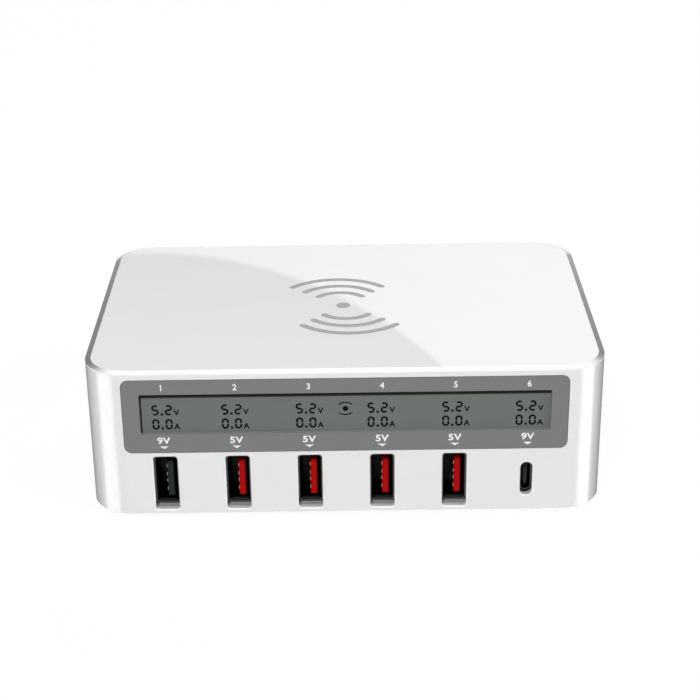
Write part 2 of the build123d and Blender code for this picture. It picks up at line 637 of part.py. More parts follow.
def make_lcd_holder():
    """Frame behind the wall that keeps the cell and its connectors in line."""
    frame = Rectangle(HOLDER_WIDTH, HOLDER_HEIGHT) - Rectangle(LCD_CUT_WIDTH, LCD_CUT_HEIGHT)
    return pushed(frame, 0, WINDOW_Z, INSIDE_FRONT, HOLDER_BACK)


def make_lcd_connectors():
    """Elastomer strips from the glass ledges back to the display board."""
    strip = Rectangle(LCD_CONNECTOR_LENGTH, LCD_CONNECTOR)
    lift = (LCD_HEIGHT - LCD_CONNECTOR) / 2
    spans = (LCD_FRONT + LCD_PLY, HOLDER_BACK)
    return group(pushed(strip, 0, WINDOW_Z + side * lift, *spans) for side in (-1, 1))


def make_display_board():
    """Circuit board that closes the back of the holder."""
    board = clipped(HOLDER_WIDTH, HOLDER_HEIGHT, HOLDER_RIM)
    return pushed(board, 0, WINDOW_Z, HOLDER_BACK, DISPLAY_BACK)


def make_display_header():
    """Angle connector that stands on the port board and holds the display board."""
    board_bottom = WINDOW_Z - HOLDER_HEIGHT / 2
    profile = polygon([
        (DISPLAY_BACK - DISPLAY_BOARD_THICK, PORT_BOARD_TOP),
        (DISPLAY_BACK + HEADER_FOOT, PORT_BOARD_TOP),
        (DISPLAY_BACK + HEADER_FOOT, PORT_BOARD_TOP + HEADER_FOOT_TALL),
        (DISPLAY_BACK + HEADER_THICK, PORT_BOARD_TOP + HEADER_THICK),
        (DISPLAY_BACK + HEADER_THICK, board_bottom + HEADER_LAP),
        (DISPLAY_BACK, board_bottom + HEADER_LAP),
        (DISPLAY_BACK, board_bottom),
        (DISPLAY_BACK - DISPLAY_BOARD_THICK, board_bottom),
    ])
    return extrude(Plane.YZ * profile, HEADER_LENGTH / 2, both=True)


def leaf_profile(wall_x, inward_sign):
    """Plan section of a spring leaf that leans from the shell wall into the socket."""
    root = SOCKET_FACE + LEAF_START
    line = [
        (0, root - LEAF_SLOT),
        (0, root),
        (LEAF_BOW, root + LEAF_CREST),
        (LEAF_TIP_BOW, root + LEAF_LENGTH),
    ]
    near = [(wall_x + inward_sign * (bow + LEAF_SHEET / 2), y) for bow, y in line]
    far = [(wall_x + inward_sign * (bow - LEAF_SHEET / 2), y) for bow, y in reversed(line)]
    return polygon(near + far)


def make_usb_a_shell(x):
    """Folded sheet shell: flared mouth, two spring leaves in each long wall, legs into the port board."""
    flange = RectangleRounded(FLANGE_WIDTH, FLANGE_HEIGHT, FLANGE_CORNER)
    flange_hollow = RectangleRounded(
        FLANGE_WIDTH - 2 * USB_A_SHEET, FLANGE_HEIGHT - 2 * USB_A_SHEET, FLANGE_CORNER - USB_A_SHEET
    )
    tube = clipped(USB_A_OUT_WIDTH, USB_A_OUT_HEIGHT, USB_A_MOUTH_CORNER + USB_A_SHEET)
    hollow = clipped(USB_A_MOUTH_WIDTH, USB_A_MOUTH_HEIGHT, USB_A_MOUTH_CORNER)
    mouth = facing(x, SOCKET_FACE, SOCKET_Z)
    neck = facing(x, SOCKET_NECK, SOCKET_Z)
    shell = loft([mouth * flange, neck * tube], ruled=True)
    shell += pushed(tube, x, SOCKET_Z, SOCKET_NECK, USB_A_BACK)
    shell -= loft([mouth * flange_hollow, neck * hollow], ruled=True)
    shell -= pushed(hollow, x, SOCKET_Z, SOCKET_NECK, USB_A_BACK)

    root = SOCKET_FACE + LEAF_START
    leg_y = around(root + LEAF_LENGTH / 2, USB_A_LEG_WIDTH)
    for side in (-1, 1):
        wall_x = x + side * (USB_A_MOUTH_WIDTH + USB_A_SHEET) / 2
        wall_span = around(wall_x, USB_A_SHEET)
        for shift in around(SOCKET_Z, LEAF_SPREAD):
            window_y = (root, root + LEAF_LENGTH + LEAF_SLOT)
            shell -= block(wall_span, window_y, around(shift, LEAF_WIDTH + 2 * LEAF_SLOT))
            leaf = leaf_profile(wall_x, -side)
            shell += raised(leaf, shift - LEAF_WIDTH / 2, shift + LEAF_WIDTH / 2)
        leg_z = (PORT_BOARD_BOTTOM - USB_A_SHEET - USB_A_MOUTH_CORNER, PORT_BOARD_TOP + USB_A_LEG_PROUD)
        shell += block(wall_span, leg_y, leg_z)
    return shell


def usb_a_strips(x):
    """Four contact strips; each runs back through the block and turns up to the port board."""
    face = x + TONGUE_OFFSET - TONGUE_THICK / 2 + CONTACT_SUNK
    heights = [
        SOCKET_Z + CONTACT_OUTER_SPREAD / 2,
        SOCKET_Z + CONTACT_INNER_SPREAD / 2,
        SOCKET_Z - CONTACT_INNER_SPREAD / 2,
        SOCKET_Z - CONTACT_OUTER_SPREAD / 2,
    ]
    strips = []
    for i, z in enumerate(heights):
        tail = USB_A_BACK + TAIL_START + i * TAIL_PITCH
        bottom, top = around(z, CONTACT_WIDTH)
        outline = polygon([
            (TONGUE_FRONT + CONTACT_SETBACK, bottom),
            (tail + TAIL_WIDTH, bottom),
            (tail + TAIL_WIDTH, PORT_BOARD_BOTTOM),
            (tail, PORT_BOARD_BOTTOM),
            (tail, top),
            (TONGUE_FRONT + CONTACT_SETBACK, top),
        ])
        strips.append(Pos(face, 0, 0) * extrude(Plane.YZ * outline, -CONTACT_THICK))
    return strips


def make_usb_a_tongue(x):
    """Moulded tongue with a chamfered tip, on the block that closes the back of the shell."""
    tongue = block(
        around(x + TONGUE_OFFSET, TONGUE_THICK),
        (TONGUE_FRONT, USB_A_BACK - USB_A_BLOCK),
        around(SOCKET_Z, TONGUE_HEIGHT),
    )
    tongue = chamfer(tongue.faces().sort_by(Axis.Y)[0].edges(), TONGUE_TIP)
    body = clipped(
        USB_A_MOUTH_WIDTH - 2 * ROUND_FIT, USB_A_MOUTH_HEIGHT - 2 * ROUND_FIT, USB_A_MOUTH_CORNER
    )
    tongue += pushed(body, x, SOCKET_Z, USB_A_BACK - USB_A_BLOCK, USB_A_BACK)
    for strip in usb_a_strips(x):
        tongue -= strip
    return tongue


def make_usb_c_shell():
    """Seamless oval shell."""
    tube = SlotOverall(USB_C_OUT_HEIGHT, USB_C_OUT_WIDTH, rotation=90)
    hollow = SlotOverall(USB_C_MOUTH_HEIGHT, USB_C_MOUTH_WIDTH, rotation=90)
    return pushed(tube - hollow, USB_C_X, SOCKET_Z, SOCKET_FACE, USB_C_BACK)


def usb_c_strips():
    """Two rows of fine contacts on the faces of the tongue."""
    tip = SOCKET_FACE + USB_C_TONGUE_SETBACK + USB_C_SHEET
    strips = []
    for side in (-1, 1):
        face = USB_C_X + side * USB_C_TONGUE_THICK / 2
        limits = sorted((face, face + side * USB_C_CONTACT_THICK))
        for i in range(USB_C_CONTACTS):
            z = SOCKET_Z + (i - (USB_C_CONTACTS - 1) / 2) * USB_C_CONTACT_PITCH
            span = (tip, tip + USB_C_CONTACT_LENGTH)
            strips.append(block(limits, span, around(z, USB_C_CONTACT_WIDTH)))
    return strips


def make_usb_c_tongue():
    """Thin central tongue on the block that closes the back of the shell."""
    tongue = block(
        around(USB_C_X, USB_C_TONGUE_THICK),
        (SOCKET_FACE + USB_C_TONGUE_SETBACK, USB_C_BACK - USB_C_BLOCK),
        around(SOCKET_Z, USB_C_TONGUE_HEIGHT),
    )
    body = SlotOverall(
        USB_C_MOUTH_HEIGHT - 2 * ROUND_FIT, USB_C_MOUTH_WIDTH - 2 * ROUND_FIT, rotation=90
    )
    return tongue + pushed(body, USB_C_X, SOCKET_Z, USB_C_BACK - USB_C_BLOCK, USB_C_BACK)


def make_usb_c_board():
    """Small upright board beside the USB-C shell, under the port board."""
    left = USB_C_X + USB_C_OUT_WIDTH / 2
    front = SOCKET_FACE + USB_C_BOARD_SETBACK
    return block(
        (left, left + USB_C_BOARD_THICK),
        (front, front + USB_C_BOARD_DEPTH),
        (SOCKET_Z - USB_C_OUT_HEIGHT / 2, PORT_BOARD_BOTTOM),
    )


def make_port_board():
    """Board above the sockets, slotted for the shell legs."""
    middle = (PORT_BOARD_FRONT + PORT_BOARD_BACK) / 2
    plan = clipped(PORT_BOARD_WIDTH, PORT_BOARD_BACK - PORT_BOARD_FRONT, BOARD_CORNER)
    board = raised(Pos(0, middle) * plan, PORT_BOARD_BOTTOM, PORT_BOARD_TOP)
    leg_y = SOCKET_FACE + LEAF_START + LEAF_LENGTH / 2
    for x in SOCKET_X[:USB_A_COUNT]:
        for wall_x in around(x, USB_A_MOUTH_WIDTH + USB_A_SHEET):
            slot = Rectangle(USB_A_SHEET + 2 * FIT, USB_A_LEG_WIDTH + 2 * FIT)
            board -= raised(Pos(wall_x, leg_y) * slot, PORT_BOARD_BOTTOM, PORT_BOARD_TOP)
    for spot in PORT_POSTS:
        board -= post(spot, BOARD_SCREW_RADIUS + PASS_HOLE, PORT_BOARD_BOTTOM, PORT_BOARD_TOP)
    return board


def make_converters():
    """A storage coil and a chip for each socket, in a row along the back of the port board."""
    coils = []
    chips = []
    coil_y = PORT_BOARD_BACK - CONVERTER_GAP - CONVERTER_COIL / 2
    chip_y = coil_y - CONVERTER_COIL / 2 - CONVERTER_GAP - CONVERTER_CHIP_WIDTH / 2
    coil_plan = clipped(CONVERTER_COIL, CONVERTER_COIL, CONVERTER_COIL_CORNER)
    chip_plan = Rectangle(CONVERTER_CHIP_LENGTH, CONVERTER_CHIP_WIDTH)
    for x in SOCKET_X:
        coil_top = PORT_BOARD_TOP + CONVERTER_COIL_HEIGHT
        coils.append(raised(Pos(x, coil_y) * coil_plan, PORT_BOARD_TOP, coil_top))
        chip_top = PORT_BOARD_TOP + CONVERTER_CHIP_HEIGHT
        chips.append(raised(Pos(x, chip_y) * chip_plan, PORT_BOARD_TOP, chip_top))
    return group(coils), group(chips)


def make_main_board():
    """Mains power board on the posts of the base."""
    middle = (MAIN_BOARD_FRONT + MAIN_BOARD_BACK) / 2
    plan = clipped(MAIN_BOARD_WIDTH, MAIN_BOARD_DEPTH, BOARD_CORNER)
    board = raised(Pos(0, middle) * plan, MAIN_BOARD_BOTTOM, MAIN_BOARD_TOP)
    for spot in MAIN_POSTS:
        board -= post(spot, BOARD_SCREW_RADIUS + PASS_HOLE, MAIN_BOARD_BOTTOM, MAIN_BOARD_TOP)
    return board


def make_board_link():
    """Row of square posts between the two boards."""
    y = MAIN_BOARD_FRONT + LINK_OVERLAP / 2
    pins = []
    for place in GridLocations(LINK_PITCH, 0, LINK_PINS, 1):
        square = Pos(0, y) * place * Rectangle(LINK_PIN, LINK_PIN)
        pins.append(raised(square, MAIN_BOARD_TOP, PORT_BOARD_BOTTOM))
    return group(pins)


def make_mains_inlet():
    """Two-pin figure-eight inlet; a shoulder behind the wall takes the push of the plug."""
    body = RectangleRounded(INLET_WIDTH, INLET_HEIGHT, INLET_CORNER)
    shoulder = RectangleRounded(
        INLET_WIDTH + 2 * INLET_SHOULDER_LAP, INLET_HEIGHT + 2 * INLET_SHOULDER_LAP, INLET_CORNER
    )
    lobes = Pos(-INLET_PIN_SPREAD / 2, 0) * Circle(INLET_LOBE)
    lobes += Pos(INLET_PIN_SPREAD / 2, 0) * Circle(INLET_LOBE)
    socket = lobes + Rectangle(INLET_PIN_SPREAD, INLET_WAIST)
    inlet = pushed(body, INLET_X, INLET_Z, REAR - INLET_DEPTH, REAR)
    inlet += pushed(shoulder, INLET_X, INLET_Z, INSIDE_REAR - INLET_SHOULDER, INSIDE_REAR)
    inlet -= pushed(socket, INLET_X, INLET_Z, REAR - INLET_SOCKET_DEPTH, REAR)
    bore = Circle(INLET_PIN_RADIUS + ROUND_FIT)
    for x in around(INLET_X, INLET_PIN_SPREAD):
        inlet -= pushed(bore, x, INLET_Z, REAR - INLET_DEPTH, REAR - INLET_SOCKET_DEPTH)
    return inlet


def make_inlet_pins():
    """Round pins through the back of the inlet, each with a flat tag down to the main board."""
    pins = []
    tip = REAR - INLET_SOCKET_DEPTH + INLET_PIN_LENGTH
    tail = REAR - INLET_DEPTH - INLET_PIN_TAIL
    for x in around(INLET_X, INLET_PIN_SPREAD):
        pin = pushed(Circle(INLET_PIN_RADIUS), x, INLET_Z, tail, tip)
        tag_y = (tail, tail + INLET_TAG_THICK)
        pin += block(around(x, INLET_TAG_WIDTH), tag_y, (MAIN_BOARD_TOP, INLET_Z))
        pins.append(pin)
    return group(pins)


def make_fuse():
    """Round radial fuse."""
    return post(FUSE_SPOT, FUSE_RADIUS, MAIN_BOARD_TOP, MAIN_BOARD_TOP + FUSE_HEIGHT)


def make_choke():
    """Ring core and the two windings that wrap it."""
    middle = Pos(CHOKE_X, CHOKE_Y, MAIN_BOARD_TOP + CHOKE_WIRE + CHOKE_CORE_HEIGHT / 2)
    ring_middle = (CHOKE_OUTER + CHOKE_INNER) / 2
    section = Pos(ring_middle, 0) * Rectangle(CHOKE_OUTER - CHOKE_INNER, CHOKE_CORE_HEIGHT)
    wrap = Pos(ring_middle, 0) * Rectangle(
        CHOKE_OUTER - CHOKE_INNER + 2 * CHOKE_WIRE, CHOKE_CORE_HEIGHT + 2 * CHOKE_WIRE
    )
    core = middle * revolve(Plane.XZ * section, Axis.Z, 360)
    half = revolve(Plane.XZ * (wrap - section), Axis.Z, CHOKE_WINDING_ANGLE)
    windings = [middle * Rot(0, 0, turn) * half for turn in (0, 180)]
    return core, group(windings)


def make_filter_capacitor():
    """Boxed film capacitor."""
    x = (FILTER_CAP_LEFT + FILTER_CAP_RIGHT) / 2
    y = MAIN_BOARD_BACK - FILTER_CAP_REAR - FILTER_CAP_LENGTH / 2
    plan = RectangleRounded(FILTER_CAP_WIDTH, FILTER_CAP_LENGTH, FILTER_CAP_CORNER)
    return raised(Pos(x, y) * plan, MAIN_BOARD_TOP, MAIN_BOARD_TOP + FILTER_CAP_HEIGHT)


def make_bridge_rectifier():
    """Flat upright rectifier with one bevelled corner."""
    left, right = around(BRIDGE_X, BRIDGE_LENGTH)
    top = MAIN_BOARD_TOP + BRIDGE_HEIGHT
    outline = polygon([
        (left, MAIN_BOARD_TOP),
        (right, MAIN_BOARD_TOP),
        (right, top),
        (left + BRIDGE_BEVEL, top),
        (left, top - BRIDGE_BEVEL),
    ])
    return Pos(0, BRIDGE_Y, 0) * extrude(Plane.XZ * outline, BRIDGE_THICK / 2, both=True)


def make_bulk_capacitors():
    """Two electrolytic cans with a bevelled shoulder."""
    cans = []
    y = MAIN_BOARD_BACK - BULK_CAP_REAR
    for x in around(BULK_CAPS_X, BULK_CAP_PITCH):
        can = post((x, y), BULK_CAP_RADIUS, MAIN_BOARD_TOP, MAIN_BOARD_TOP + BULK_CAP_HEIGHT)
        cans.append(chamfer(can.edges().group_by(Axis.Z)[-1], BULK_CAP_EDGE))
    return group(cans)


def make_output_capacitors():
    """Rows of smaller cans along the left end of the main board."""
    cans = []
    for column in range(OUTPUT_CAP_COLUMNS):
        for row in range(OUTPUT_CAP_ROWS):
            x = MAIN_BOARD_LEFT + OUTPUT_CAP_FROM_SIDE + column * OUTPUT_CAP_PITCH
            y = MAIN_BOARD_BACK - OUTPUT_CAP_REAR - row * OUTPUT_CAP_PITCH
            top = MAIN_BOARD_TOP + OUTPUT_CAP_HEIGHT
            cans.append(post((x, y), OUTPUT_CAP_RADIUS, MAIN_BOARD_TOP, top))
    return group(cans)


def make_transformer():
    """Three-legged core, the bobbin on its middle leg and the winding on the bobbin."""
    y = TRANSFORMER_Y
    bottom = MAIN_BOARD_TOP + TRANSFORMER_RISE
    middle = bottom + CORE_HEIGHT / 2
    window_width = (CORE_WIDTH - 2 * CORE_LEG - CORE_MIDDLE_LEG) / 2
    window_height = CORE_HEIGHT - 2 * CORE_YOKE
    window_shift = (CORE_MIDDLE_LEG + window_width) / 2
    frame = Rectangle(CORE_WIDTH, CORE_HEIGHT)
    for shift in (-window_shift, window_shift):
        frame -= Pos(shift, 0) * Rectangle(window_width, window_height)
    core = pushed(frame, 0, middle, y - CORE_DEPTH / 2, y + CORE_DEPTH / 2)

    spool_width = CORE_WIDTH - 2 * CORE_LEG - 2 * FIT
    leg = Rectangle(CORE_MIDDLE_LEG + 2 * FIT, CORE_DEPTH + 2 * FIT)
    tube_width = CORE_MIDDLE_LEG + 2 * FIT + 2 * BOBBIN_TUBE
    tube = Rectangle(tube_width, CORE_DEPTH + 2 * FIT + 2 * BOBBIN_TUBE)
    flange = Rectangle(spool_width, BOBBIN_DEPTH)
    low = bottom + CORE_YOKE + FIT
    high = bottom + CORE_HEIGHT - CORE_YOKE - FIT
    place = Pos(0, y)
    bobbin = raised(place * flange, low, low + BOBBIN_FLANGE)
    bobbin += raised(place * flange, high - BOBBIN_FLANGE, high)
    bobbin += raised(place * tube, low, high)
    for side in (-1, 1):
        rail_y = y + side * (BOBBIN_DEPTH - BOBBIN_RAIL) / 2
        bobbin += block(around(0, spool_width), around(rail_y, BOBBIN_RAIL), (MAIN_BOARD_TOP, low))
    bobbin -= raised(place * leg, low, high)

    coil = RectangleRounded(
        spool_width - 2 * WINDING_INSET, BOBBIN_DEPTH - 2 * WINDING_INSET, WINDING_CORNER
    )
    winding = raised(place * coil - place * tube, low + BOBBIN_FLANGE, high - BOBBIN_FLANGE)
    return core, bobbin, winding


def make_heat_sink(side):
    """Finned plate beside the transformer; the flat face looks away from it."""
    y = TRANSFORMER_Y
    inner = CORE_WIDTH / 2 + SINK_GAP
    plate_span = sorted((side * (inner + SINK_FIN_REACH), side * (inner + SINK_FIN_REACH + SINK_PLATE)))
    top = MAIN_BOARD_TOP + SINK_HEIGHT
    sink = block(plate_span, around(y, SINK_DEPTH), (MAIN_BOARD_TOP, top))
    fin_span = sorted((side * inner, side * (inner + SINK_FIN_REACH)))
    fin_step = (SINK_DEPTH - SINK_FIN) / (SINK_FINS - 1)
    for i in range(SINK_FINS):
        fin_y = y - SINK_DEPTH / 2 + SINK_FIN / 2 + i * fin_step
        sink += block(fin_span, around(fin_y, SINK_FIN), (MAIN_BOARD_TOP, top))
    return sink


def make_power_device(side):
    """Three-legged device with its metal tab flat on the heat sink."""
    y = TRANSFORMER_Y
    face = CORE_WIDTH / 2 + SINK_GAP + SINK_FIN_REACH + SINK_PLATE
    foot = MAIN_BOARD_TOP + DEVICE_RISE
    tab_span = sorted((side * face, side * (face + DEVICE_TAB)))
    body_span = sorted((side * (face + DEVICE_TAB), side * (face + DEVICE_TAB + DEVICE_BODY)))
    device = block(tab_span, around(y, DEVICE_WIDTH), (foot, foot + DEVICE_TAB_HEIGHT))
    hole_z = foot + (DEVICE_BODY_HEIGHT + DEVICE_TAB_HEIGHT) / 2
    hole = Pos(side * (face + DEVICE_TAB / 2), y, hole_z) * Rot(0, 90, 0)
    device -= hole * Cylinder(DEVICE_HOLE, DEVICE_TAB)
    device += block(body_span, around(y, DEVICE_WIDTH), (foot, foot + DEVICE_BODY_HEIGHT))
    leg_x = side * (face + DEVICE_TAB + DEVICE_BODY / 2)
    for i in (-1, 0, 1):
        leg_y = around(y + i * DEVICE_LEG_PITCH, DEVICE_LEG)
        device += block(around(leg_x, DEVICE_LEG), leg_y, (MAIN_BOARD_TOP, foot))
    return device


def make_pad_coil():
    """Flat wound ring stuck to the underside of the lid; its turns are one ring."""
    ring = Circle(COIL_OUTER) - Circle(COIL_INNER)
    return raised(ring, COVER_UNDERSIDE - COIL_THICK, COVER_UNDERSIDE)


def make_pad_shield():
    """Ferrite disc under the coil."""
    top = COVER_UNDERSIDE - COIL_THICK
    return raised(Circle(COIL_OUTER), top - SHIELD_THICK, top)


def make_pad_board():
    """Board of the wireless pad, staked on the lid posts."""
    middle = PAD_BOARD_LEFT + PAD_BOARD_WIDTH / 2
    plan = clipped(PAD_BOARD_WIDTH, PAD_BOARD_DEPTH, PAD_BOARD_CORNER)
    board = raised(Pos(middle, 0) * plan, PAD_BOARD_TOP - PAD_BOARD_THICK, PAD_BOARD_TOP)
    for spot in PAD_POSTS:
        hole = PAD_STAKE_RADIUS + ROUND_FIT
        board -= post(spot, hole, PAD_BOARD_TOP - PAD_BOARD_THICK, PAD_BOARD_TOP)
    return board


def make_pad_leads():
    """Two flat leads from the rim of the coil, out through the ring and down to the pad's board."""
    top = COVER_UNDERSIDE - (COIL_THICK - PAD_LEAD) / 2
    start = COIL_OUTER + ROUND_FIT
    end = PAD_BOARD_LEFT + PAD_LEAD_LAP
    profile = polygon([
        (start, top),
        (end, top),
        (end, PAD_BOARD_TOP),
        (end - PAD_LEAD, PAD_BOARD_TOP),
        (end - PAD_LEAD, top - PAD_LEAD),
        (start, top - PAD_LEAD),
    ])
    lead = extrude(Plane.XZ * profile, PAD_LEAD / 2, both=True)
    return group(Pos(0, y, 0) * lead for y in around(0, PAD_LEAD_SPREAD))


def make_parts():
    """Every piece of the charger, by name."""
    parts = {
        "main_housing": make_main_housing(),
        "top_cover": make_top_cover(),
        "base_cover": make_base_cover(),
        "case_screws": make_case_screws(),
        "board_screws": make_board_screws(),
        "display_trim": make_display_trim(),
        "lcd_glass": make_lcd_glass(),
        "lcd_holder": make_lcd_holder(),
        "lcd_connectors": make_lcd_connectors(),
        "display_board": make_display_board(),
        "display_header": make_display_header(),
        "usb_c_shell": make_usb_c_shell(),
        "usb_c_tongue": make_usb_c_tongue(),
        "usb_c_contacts": group(usb_c_strips()),
        "usb_c_board": make_usb_c_board(),
        "port_board": make_port_board(),
        "main_board": make_main_board(),
        "board_link": make_board_link(),
        "mains_inlet": make_mains_inlet(),
        "inlet_pins": make_inlet_pins(),
        "fuse": make_fuse(),
        "filter_capacitor": make_filter_capacitor(),
        "bridge_rectifier": make_bridge_rectifier(),
        "bulk_capacitors": make_bulk_capacitors(),
        "output_capacitors": make_output_capacitors(),
        "primary_heat_sink": make_heat_sink(1),
        "power_transistor": make_power_device(1),
        "output_heat_sink": make_heat_sink(-1),
        "output_rectifier": make_power_device(-1),
        "pad_coil": make_pad_coil(),
        "pad_shield": make_pad_shield(),
        "pad_board": make_pad_board(),
        "pad_leads": make_pad_leads(),
    }
    for name, spot in FEET.items():
        parts[name] = make_foot(spot)
    for number, x in enumerate(SOCKET_X[:USB_A_COUNT], start=1):
        parts[f"usb_a_shell_{number}"] = make_usb_a_shell(x)
        parts[f"usb_a_tongue_{number}"] = make_usb_a_tongue(x)
        parts[f"usb_a_contacts_{number}"] = group(usb_a_strips(x))
    parts["converter_coils"], parts["converter_chips"] = make_converters()
    parts["choke_core"], parts["choke_windings"] = make_choke()
    transformer = make_transformer()
    for name, piece in zip(("core", "bobbin", "winding"), transformer):
        parts[f"transformer_{name}"] = piece
    return parts


os.makedirs("parts", exist_ok=True)
for name, piece in make_parts().items():
    export_step(piece, f"parts/{name}.step")
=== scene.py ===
import json
import logging
from dataclasses import dataclass, field
from enum import Enum
from math import asin, atan2, cos, degrees, pi, radians, sin, sqrt
from typing import Callable, Optional, Union

import bpy
from mathutils import Matrix, Vector


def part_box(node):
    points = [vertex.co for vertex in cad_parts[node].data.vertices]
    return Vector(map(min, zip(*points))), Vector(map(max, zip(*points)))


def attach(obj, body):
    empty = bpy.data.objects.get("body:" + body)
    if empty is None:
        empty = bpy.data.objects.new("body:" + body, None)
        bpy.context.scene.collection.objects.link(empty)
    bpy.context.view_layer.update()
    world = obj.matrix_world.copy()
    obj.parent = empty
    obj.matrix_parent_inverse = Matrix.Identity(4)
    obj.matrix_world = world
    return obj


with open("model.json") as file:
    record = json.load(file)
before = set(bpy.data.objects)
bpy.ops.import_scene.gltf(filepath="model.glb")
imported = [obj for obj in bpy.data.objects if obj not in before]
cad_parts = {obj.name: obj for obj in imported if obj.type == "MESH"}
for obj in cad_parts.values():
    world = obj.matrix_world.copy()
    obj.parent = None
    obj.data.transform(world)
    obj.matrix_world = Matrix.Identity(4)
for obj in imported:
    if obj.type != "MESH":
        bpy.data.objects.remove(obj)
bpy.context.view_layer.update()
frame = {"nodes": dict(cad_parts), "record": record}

MM = 0.001
BODY = "root"
IMAGE_PIXELS = 700
SENSOR_WIDTH = 36.0
CLIP_START, CLIP_END = 0.01, 100.0
USB_A_SHELLS = tuple(f"usb_a_shell_{number}" for number in range(1, 6))
SOCKET_NODES = USB_A_SHELLS + ("usb_c_shell",)

NEARLY = 0.9  # share of a length, or of a unit direction, that counts as all of it
MERGE_DISTANCE = 1e-5
BOX_LOW, BOX_HIGH = 0, 6  # a bounding box's lowest and highest corner
LETTER_SPACING = 1.08
LETTER_STEPS = 6  # steps of a letter's curves
CAP_LENGTH, CAP_ROUND, CAP_STEPS = 0.6, 0.45, 4  # a stroke's end, in line widths, and its steps
STROKE_TURN, STROKE_STEPS = 4, 8  # degrees of arc to a step, and the fewest steps
MARK_SINK, MARK_PROUD = 0.01, 0.02  # how far a mark reaches into its carrier and out of it
MARK_DEPTH, MARK_MIDDLE = MARK_SINK + MARK_PROUD, (MARK_PROUD - MARK_SINK) / 2
TRIANGLE = 3
NOISE_MIDDLE, NOISE_ROUGHNESS = 0.5, 0.55
DRIFT_DETAIL = 3.0
WAVE_PITCH = pi / 10  # the Wave node's scale times the distance between two lines
MIX_FACTOR, MIX_FIRST, MIX_SECOND, MIX_RESULT = 0, 6, 7, 2  # the Mix node's sockets for colours

Triple = tuple[float, float, float]
Colour = Triple
Piece = bpy.types.Object
Rule = Callable[[Vector, Vector], bool]
ORIGIN: Triple = (0.0, 0.0, 0.0)
UPWARDS: Triple = (0.0, 0.0, 1.0)
STANDING = pi / 2
log = logging.getLogger("desktop_charger")


# Hand tools

class Pick(Enum):
    """What an edit-mode operator works on."""

    EDGES = (False, True, False)
    FACES = (False, False, True)


def upright(middle: Vector, way: Vector) -> bool:
    """Whether an edge stands upright."""
    return abs(way.z) > NEARLY


